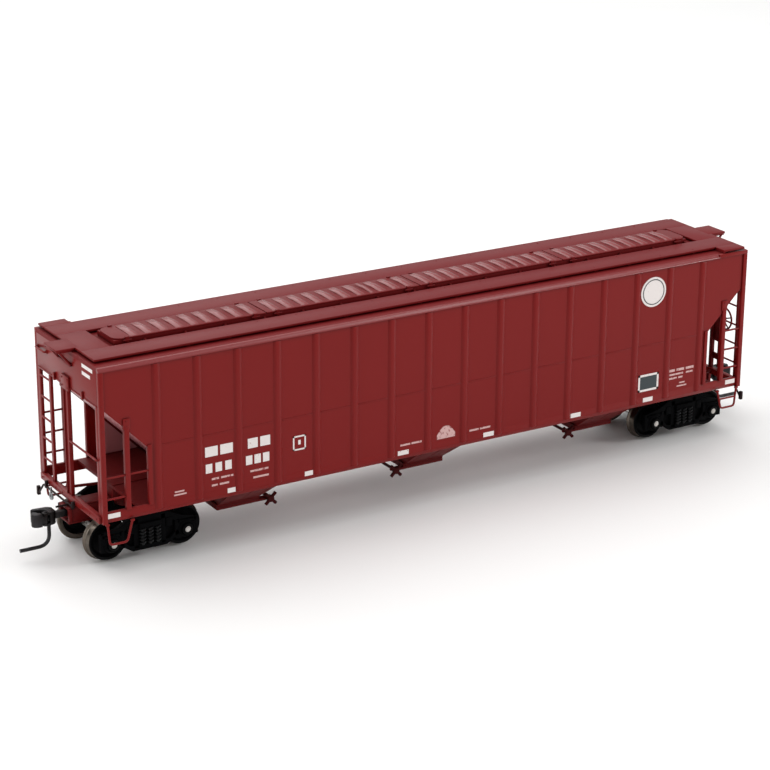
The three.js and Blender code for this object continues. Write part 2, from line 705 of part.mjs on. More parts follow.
// A truck with its wheelsets, as a group about its kingpin on the floor.
function truck(end) {
  const group = new THREE.Group();
  group.add(mesh(`truck_frame_${end}`, truckFrame(), TRUCK_BLACK));
  for (const [number, side] of [[1, -1], [2, 1]]) {
    const set = new THREE.Group();
    set.position.set((side * WHEELBASE) / 2, 0, AXLE_Z);
    set.add(mesh(`axle_${end}${number}`, solid(axle()), AXLE_METAL));
    set.add(mesh(`wheel_${end}${number}_left`, solid(wheel()), WHEEL_METAL));
    const right = mesh(`wheel_${end}${number}_right`, solid(wheel()), WHEEL_METAL);
    right.rotation.z = Math.PI;
    set.add(right);
    group.add(set);
  }
  return group;
}

// ---------------------------------------------------------------- couplers and wire parts

// The coupler's shank and head, drawn at +X, with lugs above and below the knuckle's hub.
function couplerHead() {
  const low = COUPLER_Z - HEAD_HALF;
  const high = COUPLER_Z + HEAD_HALF;
  const shank = box(COUPLER_PIVOT_X, 104, -0.8, 0.8, COUPLER_Z - 0.8, COUPLER_Z + 0.8);
  const eye = rod([COUPLER_PIVOT_X, 0, COUPLER_Z - 0.8], [COUPLER_PIVOT_X, 0, COUPLER_Z + 0.8], 1.5, 16);
  const bore = rod([COUPLER_PIVOT_X, 0, 8], [COUPLER_PIVOT_X, 0, 14], 0.9, 16);
  const body = alongZ(
    [
      [103.2, -1.3],
      [104.4, -2.1],
      [107.8, -2.5],
      [108.6, -2.0],
      [107.8, -1.4],
      [106.3, -1.0],
      [105.4, -0.4],
      [105.1, 0.4],
      [105.0, 2.1],
      [103.9, 2.0],
      [103.2, 1.3],
    ],
    low,
    high,
  );
  const pieces = [shank, eye, body];
  for (const [z0, z1] of [[low, low + 0.6], [high - 0.6, high]]) {
    pieces.push(rod([KNUCKLE_X, KNUCKLE_Y, z0], [KNUCKLE_X, KNUCKLE_Y, z1], 0.85, 12));
    pieces.push(box(104.9, KNUCKLE_X, KNUCKLE_Y - 0.75, KNUCKLE_Y + 0.75, z0, z1));
  }
  return join(...pieces).subtract(bore);
}

// The knuckle, drawn shut: a hub between the head's lugs and a full-height hooked nose.
function knuckle() {
  const play = 0.1;
  const low = COUPLER_Z - HEAD_HALF;
  const high = COUPLER_Z + HEAD_HALF;
  const hubFoot = [KNUCKLE_X, KNUCKLE_Y, low + 0.6 + play];
  const hub = rod(hubFoot, [KNUCKLE_X, KNUCKLE_Y, high - 0.6 - play], 0.75, 12);
  const arm = box(KNUCKLE_X, 107.6, KNUCKLE_Y - 0.55, KNUCKLE_Y + 0.7, low + 0.6 + play, high - 0.6 - play);
  const nose = alongZ(
    [
      [107.05, 0.8],
      [107.6, 0.6],
      [107.9, -0.1],
      [108.5, -0.5],
      [109.2, -0.1],
      [109.5, 0.8],
      [109.2, 1.7],
      [108.4, 2.2],
      [107.05, 2.25],
    ],
    low,
    high,
  );
  return join(hub, arm, nose);
}

// The curved trip pin under a coupler head, drawn at +X.
function tripPin() {
  const top = COUPLER_Z - HEAD_HALF;
  const route = [
    [PIN_X, 0, top],
    [PIN_X, 0, 3.5],
    [PIN_TIP_X, 0, 3.5],
  ];
  return wire(route, PIN_R, 3.4, 8);
}

// The uncoupling lever across one end, drawn at +X with its handle at -Y.
function cutLever() {
  const x = END_SILL_OUT + 0.5;
  const z = BOX_TOP + 0.45;
  const bar = wire(
    [
      [102.9, 0.9, z],
      [x, 0.9, z],
      [x, -14.4, z],
      [x, -18.0, 9.7],
    ],
    0.28,
    0.5,
  );
  const lug = (y) => box(END_SILL_OUT, x, y - 0.4, y + 0.4, SILL_BOTTOM + 0.1, SILL_BOTTOM + 1);
  const lugs = [3.2, -12.8].map(lug);
  const ties = [3.2, -12.8].map((y) => box(x - 0.3, x + 0.3, y - 0.4, y + 0.4, z - 0.4, SILL_BOTTOM + 1));
  const reach = rod([x, 0.7, z], [x, 3.4, z], 0.28);
  return join(bar, reach, ...lugs, ...ties);
}

// A sill step under one corner, drawn at +X and -Y; the ladder corners have a second tread.
function stirrup(withTread) {
  const y = -(SHEET_Y + 0.1);
  const bottom = 8.4;
  const bent = wire(
    [
      [90.4, y, SILL_BOTTOM],
      [91.9, y, bottom],
      [96.6, y, bottom],
      [97.1, y, SILL_BOTTOM],
    ],
    RAIL_R,
    0.9,
  );
  return withTread ? bent.add(rod([91.1, y, 11.2], [96.85, y, 11.2], 0.28)) : bent;
}

// ---------------------------------------------------------------- brake gear at the B end

function brakeHousing() {
  const [inner, outer] = BRAKE_POSTS;
  const low = END_SILL_TOP + GAP;
  const high = END_PANEL_BOTTOM - GAP;
  const gear = rod([END_SILL_OUT - 0.1, BRAKE_Y, BRAKE_Z], [BRAKE_WHEEL_X - 0.6, BRAKE_Y, BRAKE_Z], 2.2, 14);
  const chainY = [BRAKE_Y - BRAKE_CHAIN_HALF, BRAKE_Y + BRAKE_CHAIN_HALF];
  const chain = box(END_SILL_OUT - 0.1, BRAKE_CHAIN_OUT, ...chainY, BRAKE_PLATE_LOW + 0.5, BRAKE_Z);
  return join(
    box(HALF_LENGTH, END_SILL_OUT, -outer[1], -inner[0], BRAKE_PLATE_LOW, BRAKE_PLATE_TOP),
    box(HALF_LENGTH, END_SILL_OUT, -outer[1], -inner[0], ...BRAKE_BAR),
    box(CENTRE_POST_IN, END_SILL_OUT, -inner[1], -inner[0], low, high),
    box(LADDER_X[1], END_SILL_OUT, -outer[1], -outer[0], low, high),
    gear,
    chain,
  );
}

function brakeWheel() {
  const ring = new THREE.TorusGeometry(BRAKE_WHEEL_R, 0.3, 6, 20);
  ring.rotateY(Math.PI / 2);
  ring.translate(BRAKE_WHEEL_X, BRAKE_Y, BRAKE_Z);
  const hub = rod([BRAKE_WHEEL_X - 0.6, BRAKE_Y, BRAKE_Z], [BRAKE_WHEEL_X + 0.3, BRAKE_Y, BRAKE_Z], 0.6, 10);
  const pieces = [solid(ring), hub];
  for (let i = 0; i < 5; i += 1) {
    const angle = (2 * Math.PI * i) / 5 + Math.PI / 2;
    const y = BRAKE_Y + BRAKE_WHEEL_R * Math.cos(angle);
    const z = BRAKE_Z + BRAKE_WHEEL_R * Math.sin(angle);
    pieces.push(rod([BRAKE_WHEEL_X, BRAKE_Y, BRAKE_Z], [BRAKE_WHEEL_X, y, z], 0.22));
  }
  return join(...pieces);
}

function brakeCylinder() {
  const z = DRAFT_SILL_TOP + 2.5;
  return join(
    rod([89.8, 0, z], [95.6, 0, z], 2.1, 16),
    rod([95.5, 0, z], [96.8, 0, z], 0.5, 8),
    box(90.8, 94.6, -1.3, 1.3, DRAFT_SILL_TOP, z),
  );
}

function airReservoir() {
  const x = 85.4;
  const z = SILL_TOP + 2.7;
  return join(
    rod([x, -16, z], [x, -5.5, z], 2.3, 16),
    box(x - 1.4, x + 1.4, -14.6, -13.4, SILL_TOP, z),
    box(x - 1.4, x + 1.4, -8.1, -6.9, SILL_TOP, z),
  );
}

function controlValve() {
  const body = box(83.8, 86.8, 6.2, 9.8, SILL_TOP, SILL_TOP + 4.2);
  const cap = rod([85.3, 8, SILL_TOP + 4.1], [85.3, 8, SILL_TOP + 5.4], 1.3, 12);
  const branch = rod([85.3, 9.7, SILL_TOP + 2], [85.3, 12.4, SILL_TOP + 2], 0.8, 10);
  return join(body, cap, branch);
}

// ---------------------------------------------------------------- assembly

// The pieces that both ends have, drawn at +X.
function endGroup(end) {
  const group = new THREE.Group();
  group.add(mesh(`end_frame_${end}`, endFrame(), BODY_RED));
  group.add(mesh(`end_ladder_${end}`, endLadder(), BODY_RED));
  group.add(mesh(`slope_sheet_${end}`, slopeSheet(), BODY_RED));
  group.add(mesh(`underframe_${end}`, underframe(), UNDER_RED));
  group.add(mesh(`coupler_box_lid_${end}`, boxLid(), UNDER_RED));
  group.add(mesh(`coupler_${end}`, couplerHead(), COUPLER_BLACK));
  group.add(mesh(`knuckle_${end}`, knuckle(), COUPLER_BLACK));
  group.add(mesh(`trip_pin_${end}`, tripPin(), COUPLER_BLACK));
  group.add(mesh(`cut_lever_${end}`, cutLever(), COUPLER_BLACK));
  group.add(mesh(`ladder_step_${end}`, stirrup(true), BODY_RED));
  const plain = mesh(`corner_step_${end}`, mirroredAcross(stirrup(false)), BODY_RED);
  group.add(plain);
  const bogie = truck(end);
  bogie.position.x = TRUCK_X;
  group.add(bogie);
  const screw = mesh(`truck_screw_${end}`, truckScrew(), STEEL);
  screw.position.x = TRUCK_X;
  group.add(screw);
  return group;
}

// The same solid reflected in the plane y = 0.
function mirroredAcross(made) {
  return made.mirror([0, 1, 0]);
}

function buildCar() {
  const car = new THREE.Group();
  car.name = "hopper_car";
  const near = mesh("side_panel_near", sidePanel(), BODY_RED);
  const far = mesh("side_panel_far", sidePanel(), BODY_RED);
  far.rotation.z = Math.PI;
  car.add(near, far);

  const endB = endGroup("b");
  const endA = endGroup("a");
  endA.rotation.z = Math.PI;
  car.add(endA, endB);

  car.add(mesh("roof_panel", roofPanel(), ROOF_RED));
  const covers = [outerCover(), innerCover(), innerCover(), outerCover()];
  const coverX = [-HATCH_JOINT, -HATCH_JOINT, 0, HATCH_JOINT];
  covers.forEach((shape, i) => {
    const cover = mesh(`hatch_cover_${i + 1}`, shape, ROOF_RED);
    cover.position.x = coverX[i];
    if (i === 0) cover.rotation.z = Math.PI;
    car.add(cover);
  });
  car.add(mesh("running_board", runningBoard(), ROOF_RED));

  const half = SHEET_IN - GAP;
  car.add(mesh("floor_plate", box(-FLOOR_HALF, FLOOR_HALF, -half, half, FLOOR_BOTTOM, SILL_TOP), UNDER_RED));
  car.add(mesh("ballast_weight", box(-60, 60, -14, 14, SILL_TOP, SILL_TOP + 2), STEEL));
  BAY_X.forEach((x, i) => {
    const bay = mesh(`hopper_bay_${i + 1}`, hopperBay(), BODY_RED);
    bay.position.x = x;
    const gate = mesh(`outlet_gate_${i + 1}`, outletGate(), UNDER_RED);
    gate.position.x = x;
    gate.rotation.z = CRANK_SIDE[i] > 0 ? 0 : Math.PI;
    car.add(bay, gate);
  });

  car.add(mesh("brake_housing", brakeHousing(), BODY_RED));
  car.add(mesh("brake_wheel", brakeWheel(), BODY_RED));
  car.add(mesh("brake_cylinder", brakeCylinder(), UNDER_RED));
  car.add(mesh("air_reservoir", airReservoir(), UNDER_RED));
  car.add(mesh("control_valve", controlValve(), UNDER_RED));
  return car;
}

export default buildCar();
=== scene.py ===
"""The looks of the HO-scale covered hopper car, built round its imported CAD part.

Every shape is given in millimetres in the row frame: +X along the car to the brake end, +Z up.
The near side is the one at -Y; the far side and the A end are the same shapes turned half round.
"""

import math

import bmesh
import bpy
from mathutils import Matrix, Quaternion, Vector


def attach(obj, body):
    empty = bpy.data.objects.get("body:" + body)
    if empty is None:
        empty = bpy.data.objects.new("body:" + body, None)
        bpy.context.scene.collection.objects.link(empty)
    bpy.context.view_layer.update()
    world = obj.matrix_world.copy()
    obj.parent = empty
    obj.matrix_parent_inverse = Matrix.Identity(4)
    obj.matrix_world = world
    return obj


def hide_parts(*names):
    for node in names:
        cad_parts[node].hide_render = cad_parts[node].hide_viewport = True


MM = 0.001
CREASE_DEG = 38  # edges sharper than this stay crisp in smooth shading

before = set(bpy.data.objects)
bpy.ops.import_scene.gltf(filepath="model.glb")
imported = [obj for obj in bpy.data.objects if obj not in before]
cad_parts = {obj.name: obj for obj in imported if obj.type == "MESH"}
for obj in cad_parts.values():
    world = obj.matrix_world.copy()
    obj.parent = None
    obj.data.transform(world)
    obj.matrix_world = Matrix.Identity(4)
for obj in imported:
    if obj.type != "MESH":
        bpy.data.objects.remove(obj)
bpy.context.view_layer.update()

# ---------------------------------------------------------------- geometry kit


class Kit:
    """Collects closed shapes, given in millimetres, into one mesh."""

    def __init__(self):
        self.verts = []
        self.faces = []
        self.smooth = []
        self.paints = []
        self.paint = 0

    def add(self, bm, smooth=False):
        bmesh.ops.recalc_face_normals(bm, faces=bm.faces)
        bm.verts.ensure_lookup_table()
        start = len(self.verts)
        self.verts.extend(tuple(v.co) for v in bm.verts)
        for face in bm.faces:
            self.faces.append([start + v.index for v in face.verts])
            self.smooth.append(smooth)
            self.paints.append(self.paint)
        bm.free()
        return self

    def solid(self, verts, faces, bevel=0.0, segments=2, smooth=False):
        bm = bmesh.new()
        made = [bm.verts.new(v) for v in verts]
        for face in faces:
            bm.faces.new([made[i] for i in face])
        bmesh.ops.recalc_face_normals(bm, faces=bm.faces)
        if bevel:
            bm.normal_update()
            sharp = [e for e in bm.edges if e.is_manifold and e.calc_face_angle(0) > 0.3]
            bmesh.ops.bevel(
                bm,
                geom=sharp,
                offset=bevel,
                offset_type="OFFSET",
                segments=segments,
                profile=0.5,
                affect="EDGES",
                clamp_overlap=True,
            )
        bm.verts.index_update()
        return self.add(bm, smooth)

    def box(self, x, y, z, bevel=0.12, segments=2):
        x, y, z = sorted(x), sorted(y), sorted(z)
        verts = [(a, b, c) for a in x for b in y for c in z]
        faces = [(0, 1, 3, 2), (4, 6, 7, 5), (0, 4, 5, 1), (2, 3, 7, 6), (0, 2, 6, 4), (1, 5, 7, 3)]
        return self.solid(verts, faces, bevel, segments)

    def hull8(self, low, high, z, bevel=0.12):
        """A solid between two level rectangles: (x0, x1, y0, y1) at z[0] and at z[1]."""
        verts = []
        for (x0, x1, y0, y1), level in ((low, z[0]), (high, z[1])):
            verts += [(x0, y0, level), (x1, y0, level), (x1, y1, level), (x0, y1, level)]
        sides = [(i, (i + 1) % 4, 4 + (i + 1) % 4, 4 + i) for i in range(4)]
        return self.solid(verts, [(3, 2, 1, 0), (4, 5, 6, 7), *sides], bevel)

    def prism(self, points, axis, lo, hi, bevel=0.12, segments=2, smooth=False):
        """A 2-D outline drawn along an axis: (y, z) along x, (x, z) along y, (x, y) along z."""

        def place(u, v, w):
            return {"x": (w, u, v), "y": (u, w, v), "z": (u, v, w)}[axis]

        n = len(points)
        verts = [place(u, v, lo) for u, v in points] + [place(u, v, hi) for u, v in points]
        sides = [(i, (i + 1) % n, n + (i + 1) % n, n + i) for i in range(n)]
        return self.solid(verts, [tuple(range(n)), tuple(range(n, 2 * n)), *sides], bevel, segments, smooth)

    def gable(self, outline, half, crown):
        """A ridge along Y from a closed (x, z) outline, highest at y = 0 and nearly flat at +-half."""
        foot = min(z for _, z in outline)
        rows = []
        for y, share in ((-half, 0.08), (-crown, 0.62), (0, 1.0), (crown, 0.62), (half, 0.08)):
            rows.append([(x, y, foot + (z - foot) * share) for x, z in outline])
        verts = [v for row in rows for v in row]
        n = len(outline)
        faces = [tuple(range(n)), tuple(range(4 * n, 5 * n))]
        for r in range(4):
            for i in range(n):
                j = (i + 1) % n
                faces.append((r * n + i, r * n + j, (r + 1) * n + j, (r + 1) * n + i))
        return self.solid(verts, faces, smooth=True)

    def sweep(self, path, radius, sides, closed=False):
        """A round bar along a list of points."""
        path = [Vector(p) for p in path]
        n = len(path)
        tangents = []
        for i in range(n):
            if closed:
                ahead, behind = path[(i + 1) % n], path[i - 1]
            else:
                ahead, behind = path[min(i + 1, n - 1)], path[max(i - 1, 0)]
            tangents.append((ahead - behind).normalized())
        side = tangents[0].orthogonal().normalized()
        verts = []
        for i, (point, tangent) in enumerate(zip(path, tangents)):
            if i:
                side = tangents[i - 1].rotation_difference(tangent) @ side
            other = tangent.cross(side)
            for k in range(sides):
                a = 2 * math.pi * k / sides
                verts.append(tuple(point + radius * (math.cos(a) * side + math.sin(a) * other)))
        faces = []
        for i in range(n if closed else n - 1):
            j = (i + 1) % n
            for k in range(sides):
                m = (k + 1) % sides
                faces.append((i * sides + k, i * sides + m, j * sides + m, j * sides + k))
        if not closed:
            faces.append(tuple(range(sides)))
            faces.append(tuple(range((n - 1) * sides, n * sides)))
        return self.solid(verts, faces, smooth=True)

    def wire(self, stops, radius, bend=0.6, sides=10, steps=5):
        """A bar along straight runs with round corners."""
        stops = [Vector(s) for s in stops]
        path = [stops[0]]
        for before, corner, after in zip(stops, stops[1:], stops[2:]):
            reach = min(bend, (corner - before).length / 2, (after - corner).length / 2)
            a = corner + (before - corner).normalized() * reach
            b = corner + (after - corner).normalized() * reach
            for i in range(steps + 1):
                t = i / steps
                path.append(a * (1 - t) ** 2 + corner * (2 * t * (1 - t)) + b * t**2)
        path.append(stops[-1])
        return self.sweep(path, radius, sides)

    def turn(self, profile, centre=(0, 0, 0), axis=(0, 0, 1), sides=32):
        """A solid of revolution from (radius, height) pairs, from axis to axis or back to the first pair."""
        spin = Vector((0, 0, 1)).rotation_difference(Vector(axis))
        centre = Vector(centre)
        ring = profile[0][0] > 1e-6 and profile[0] == profile[-1]
        rows = profile[:-1] if ring else profile
        verts, index = [], []
        for radius, height in rows:
            if radius < 1e-6:
                index.append([len(verts)] * sides)
                verts.append(tuple(centre + spin @ Vector((0, 0, height))))
                continue
            index.append(list(range(len(verts), len(verts) + sides)))
            for k in range(sides):
                a = 2 * math.pi * (k + 0.5) / sides
                point = Vector((radius * math.cos(a), radius * math.sin(a), height))
                verts.append(tuple(centre + spin @ point))
        faces = []
        count = len(rows)
        for i in range(count if ring else count - 1):
            a, b = index[i], index[(i + 1) % count]
            for k in range(sides):
                m = (k + 1) % sides
                corner = [a[k], a[m], b[m], b[k]]
                face = [v for n, v in enumerate(corner) if v != corner[n - 1]]
                if len(face) > 2:
                    faces.append(tuple(face))
        return self.solid(verts, faces, smooth=True)

    def disc(self, centre, axis, radius, height, bevel=0.08, sides=24):
        """A short cylinder with softened rims, from centre along axis."""
        b = min(bevel, radius / 3, height / 3)
        wall = [(radius - b, 0), (radius, b), (radius, height - b), (radius - b, height)]
        return self.turn([(0, 0), *wall, (0, height)], centre, axis, sides)

    def bolt(self, at, axis, radius=0.28, height=0.16):
        """A small domed bolt or rivet head."""
        dome = [(radius, -0.1), (radius, height * 0.5), (radius * 0.7, height)]
        return self.turn([(0, -0.1), *dome, (0, height)], at, axis, 8)

    def copy(self, move):
        other = Kit()
        other.verts = [tuple(move @ Vector(v)) for v in self.verts]
        other.faces = [list(f) for f in self.faces]
        if move.determinant() < 0:
            other.faces = [f[::-1] for f in other.faces]
        other.smooth, other.paints = list(self.smooth), list(self.paints)
        return other

    def build(self, name, body, materials, slot, nodes=()):
        """Makes the mesh object, which rides on its body in place of the CAD nodes it is given."""
        mesh = bpy.data.meshes.new(name)
        mesh.from_pydata([(x * MM, y * MM, z * MM) for x, y, z in self.verts], [], self.faces)
        for material in materials:
            mesh.materials.append(material)
        mesh.polygons.foreach_set("use_smooth", self.smooth)
        mesh.polygons.foreach_set("material_index", self.paints)
        mesh.update()
        mesh.set_sharp_from_angle(angle=math.radians(CREASE_DEG))
        obj = bpy.data.objects.new(name, mesh)
        bpy.context.scene.collection.objects.link(obj)
        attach(obj, body)
        if nodes:
            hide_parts(*nodes)
        return obj


HALF_TURN = Matrix.Rotation(math.pi, 4, "Z")
FLIP_Y = Matrix.Scale(-1, 4, (0, 1, 0))


def circle(centre, radius, count):
    """Points round a circle in the Y-Z plane."""
    x, y, z = centre
    angles = [2 * math.pi * k / count for k in range(count)]
    return [(x, y + radius * math.cos(a), z + radius * math.sin(a)) for a in angles]


def helix(centre, radius, z0, z1, turns):
    """Points up a helix about a vertical axis."""
    x, y = centre
    per_turn = 14
    count = int(turns * per_turn)
    path = []
    for i in range(count + 1):
        a = 2 * math.pi * i / per_turn
        path.append((x + radius * math.cos(a), y + radius * math.sin(a), z0 + (z1 - z0) * i / count))
    return path


# ---------------------------------------------------------------- materials


class Paint:
    """A small builder of node materials in object space."""

    def __init__(self, name):
        self.material = bpy.data.materials.new(name)
        self.material.use_nodes = True
        self.tree = self.material.node_tree
        self.shader = self.tree.nodes["Principled BSDF"]
        self.place = self.tree.nodes.new("ShaderNodeTexCoord").outputs["Object"]

    def put(self, value, socket):
        """Links another node's output to the socket, or gives the socket a plain value."""
        if isinstance(value, bpy.types.NodeSocket):
            self.tree.links.new(value, socket)
        else:
            socket.default_value = value

    def node(self, kind, **inputs):
        made = self.tree.nodes.new(kind)
        for key, value in inputs.items():
            self.put(value, made.inputs[key])
        return made

    def noise(self, scale, detail):
        made = self.node("ShaderNodeTexNoise", Vector=self.place, Scale=scale, Detail=detail)
        return made.outputs["Fac"]

    def remap(self, value, low, high, out_low=0.0, out_high=1.0):
        made = self.tree.nodes.new("ShaderNodeMapRange")
        for socket, number in zip(list(made.inputs)[1:5], (low, high, out_low, out_high)):
            socket.default_value = number
        self.tree.links.new(value, made.inputs[0])
        return made.outputs[0]

    def mix(self, factor, a, b):
        made = self.tree.nodes.new("ShaderNodeMix")
        made.data_type = "RGBA"
        for slot, value in ((0, factor), (6, a), (7, b)):
            self.put(value, made.inputs[slot])
        return made.outputs[2]

    def crevice_shade_mask(self, distance):
        """Mask for painted crevice shade: 1 on open faces, falling to 0 where other faces are nearer than
        about distance, in mm.
        """
        made = self.node("ShaderNodeAmbientOcclusion", Distance=distance * MM)
        made.samples = 6
        return self.remap(made.outputs["AO"], 0.35, 0.95)

    def upward(self):
        """1 on faces that look up, 0 on upright ones and those that look down."""
        normal = self.tree.nodes.new("ShaderNodeNewGeometry").outputs["Normal"]
        split = self.node("ShaderNodeSeparateXYZ", Vector=normal)
        return self.remap(split.outputs["Z"], 0.2, 0.95)

    def times(self, a, b):
        made = self.tree.nodes.new("ShaderNodeMath")
        made.operation = "MULTIPLY"
        self.put(a, made.inputs[0])
        self.put(b, made.inputs[1])
        return made.outputs[0]

    def bump(self, height, strength, distance):
        made = self.node("ShaderNodeBump", Height=height, Strength=strength, Distance=distance * MM)
        self.tree.links.new(made.outputs[0], self.shader.inputs["Normal"])

    def set(self, **inputs):
        for key, value in inputs.items():
            self.put(value, self.shader.inputs[key.replace("_", " ")])


def rgb(hex_code):
    """A linear colour from an sRGB hex code."""
    value = [int(hex_code[i : i + 2], 16) / 255 for i in (1, 3, 5)]
    linear = [v / 12.92 if v <= 0.04045 else ((v + 0.055) / 1.055) ** 2.4 for v in value]
    return (*linear, 1.0)


def scaled(colour, share):
    """The colour with its red, green and blue multiplied by share."""
    return (*[share * v for v in colour[:3]], 1.0)


def body_paint(name, base, dust_and_sheen_colour, rough, gloss, shade_depth=0.9):
    """Satin model paint: slight tone drift, painted shade in crevices, a little dust and painted sheen on
    level faces.
    """
    p = Paint(name)
    drift = p.remap(p.noise(28, 2), 0.1, 0.9)
    fine = p.noise(900, 2)
    tone = p.mix(drift, base, scaled(base, 0.9))
    # Level faces take a colour that is partly dust and partly painted sheen of the light from above.
    level_dust_and_sheen = p.times(p.upward(), p.remap(fine, 0.35, 0.75, 0.55, 1.0))
    tone = p.mix(level_dust_and_sheen, tone, dust_and_sheen_colour)
    # Painted shade: the colour falls to 45 % of the base in crevices, where faces crowd together.
    colour = p.mix(p.crevice_shade_mask(shade_depth), scaled(base, 0.45), tone)
    p.bump(p.noise(5200, 2), 0.35, 0.012)
    rough = p.remap(drift, 0, 1, rough - 0.04, rough + 0.06)
    p.set(Base_Color=colour, Roughness=rough, Specular_IOR_Level=gloss)
    return p.material


def plastic(name, base, rough, gloss):
    """Unpainted moulded plastic."""
    p = Paint(name)
    tone = p.mix(p.noise(400, 3), base, scaled(base, 0.6))
    p.bump(p.noise(3600, 3), 0.3, 0.015)
    rough = p.remap(p.noise(160, 2), 0.3, 0.7, rough - 0.08, rough + 0.08)
    p.set(Base_Color=tone, Roughness=rough, Specular_IOR_Level=gloss)
    return p.material


def metal(name, base, stain, rough):
    """Turned or rolled metal with a patchy surface."""
    p = Paint(name)
    patch = p.remap(p.noise(220, 4), 0.35, 0.7)
    p.bump(p.noise(2600, 2), 0.2, 0.01)
    rough = p.remap(patch, 0, 1, rough, rough + 0.18)
    p.set(Base_Color=p.mix(patch, base, stain), Roughness=rough, Metallic=1.0)
    return p.material


def marking(name, base, under, wear=0.72):
    """Thin printed paint that lets a little of the colour below through."""
    p = Paint(name)
    worn = p.remap(p.noise(1500, 4), wear - 0.04, wear + 0.06)
    p.bump(p.noise(5200, 2), 0.3, 0.01)
    p.set(Base_Color=p.mix(worn, base, under), Roughness=0.5)
    return p.material


# Body paints: base colour, colour of dust and painted sheen on level faces, roughness, gloss and, in mm, the
# depth of the painted crevice shade.
# One oxide red in lit and shaded copies, as painted light: TOP and ROOF are darker for the better-lit top
# faces, UNDER and DARK darker still as painted shade under the car.
SIDE = body_paint("oxide_red_side", (0.2, 0.0065, 0.006, 1), (0.22, 0.03, 0.03, 1), 0.3, 0.17, 1.5)
TOP = body_paint("oxide_red_top", (0.17, 0.008, 0.009, 1), (0.15, 0.012, 0.014, 1), 0.42, 0.12)
UNDER = body_paint("oxide_red_under", (0.13, 0.006, 0.006, 1), (0.14, 0.015, 0.015, 1), 0.45, 0.12)
DARK = body_paint("oxide_red_dark", (0.055, 0.004, 0.004, 1), (0.07, 0.01, 0.01, 1), 0.5, 0.08)
ROOF = body_paint("oxide_red_roof", (0.17, 0.008, 0.009, 1), (0.15, 0.009, 0.01, 1), 0.5, 0.1, 1.8)
HATCH = body_paint("oxide_red_hatch", (0.2, 0.012, 0.013, 1), (0.2, 0.02, 0.022, 1), 0.24, 0.5)
# Painted reflection: SLOPE's pale pink stands in for light glancing off the slope sheets' undersides and the
# side's inner faces in the end openings.
SLOPE = body_paint("oxide_red_painted_reflection", (0.5, 0.19, 0.2, 1), (0.3, 0.1, 0.1, 1), 0.4, 0.3)
BLACK = plastic("truck_black", (0.0025, 0.0025, 0.003, 1), 0.6, gloss=0.03)
LEVER = plastic("lever_black", (0.02, 0.008, 0.008, 1), 0.45, gloss=0.15)
COUPLER = metal("coupler_black_metal", rgb("#3b3a3c"), rgb("#231f1e"), 0.34)
TREAD = metal("wheel_tread", rgb("#746b62"), rgb("#574e46"), 0.26)
WEB = plastic("wheel_web_black", (0.0025, 0.0025, 0.003, 1), 0.5, gloss=0.06)
AXLE = metal("bright_axle", rgb("#d6d4d0"), rgb("#b9b4ae"), 0.2)
STEEL = metal("plain_steel", rgb("#9c9ea0"), rgb("#7d7d7e"), 0.3)
SPRING = plastic("spring_black", (0.008, 0.008, 0.009, 1), 0.35, gloss=0.2)
WHITE = marking("white_print", rgb("#e6dedb"), rgb("#a87472"))
FAINT = marking("faint_print", rgb("#cfa7a4"), rgb("#97504f"), wear=0.6)
PLATE = marking("dark_plate", rgb("#2a3438"), rgb("#4a3032"))

# ---------------------------------------------------------------- shared dimensions (mm)

# Offsets of a few hundredths in the shapes below keep faces of neighbouring shapes out of one plane,
# where the crevice shading would turn them black.

HALF_LENGTH = 98.3
OUT_Y = 18.65  # face of ribs and posts
SHEET_Y = 18.2  # outer face of the side sheet
IN_Y = 17.4  # its inner face
SILL = (14.0, 16.9)
SILL_KNEE = 15.1
SILL_TOE_Y = 17.7
SIDE_TOP = 52.9
ROOF_TOP = 53.9
ROOF_Y = 17.6  # the roof is level up to here, then rounds down to the eave
EAVE_END = 88.6  # the rounded eave ends here, with a square corner beyond
RIB_X = [(i - 7.5) * 11.08 for i in range(16)]
CUT_X = 85.8  # inner edge of the corner left open for the ladder
MID_X = 91.3  # upright strip in the middle of that corner
POST_IN = 97.0
END_IN = 97.5
PANEL_BOTTOM = 43.9
RUNG_LOW, RUNG_PITCH = 20.2, 5.5
WIRE = 0.28  # radius of rungs, handrails and grab irons
COVER_Z = (55.2, 55.62)
COVER_JOINT = 45.5  # the covers meet at x = 0 and here
COVER_RIB, COVER_RIB_PITCH = 3.2, 4.15
BOARD = (54.3, 54.9)
BAY_X = 55.7
TRUCK_X = 83.2
WHEELBASE = 20.2
AXLE_Z = 5.85 * math.cos(math.pi / 24)  # height at which the CAD's many-sided wheels rest on the rail
FLOOR = (16.1, 16.9)
PIVOT_X = 93.9
COUPLER_Z = 11.2
KNUCKLE = (106.0, 1.35)
SLOPE_RISE = 54.0


def slope_z(x):
    """Height of the end slope sheet, which rises at 45 degrees."""
    return x - SLOPE_RISE


# ---------------------------------------------------------------- body


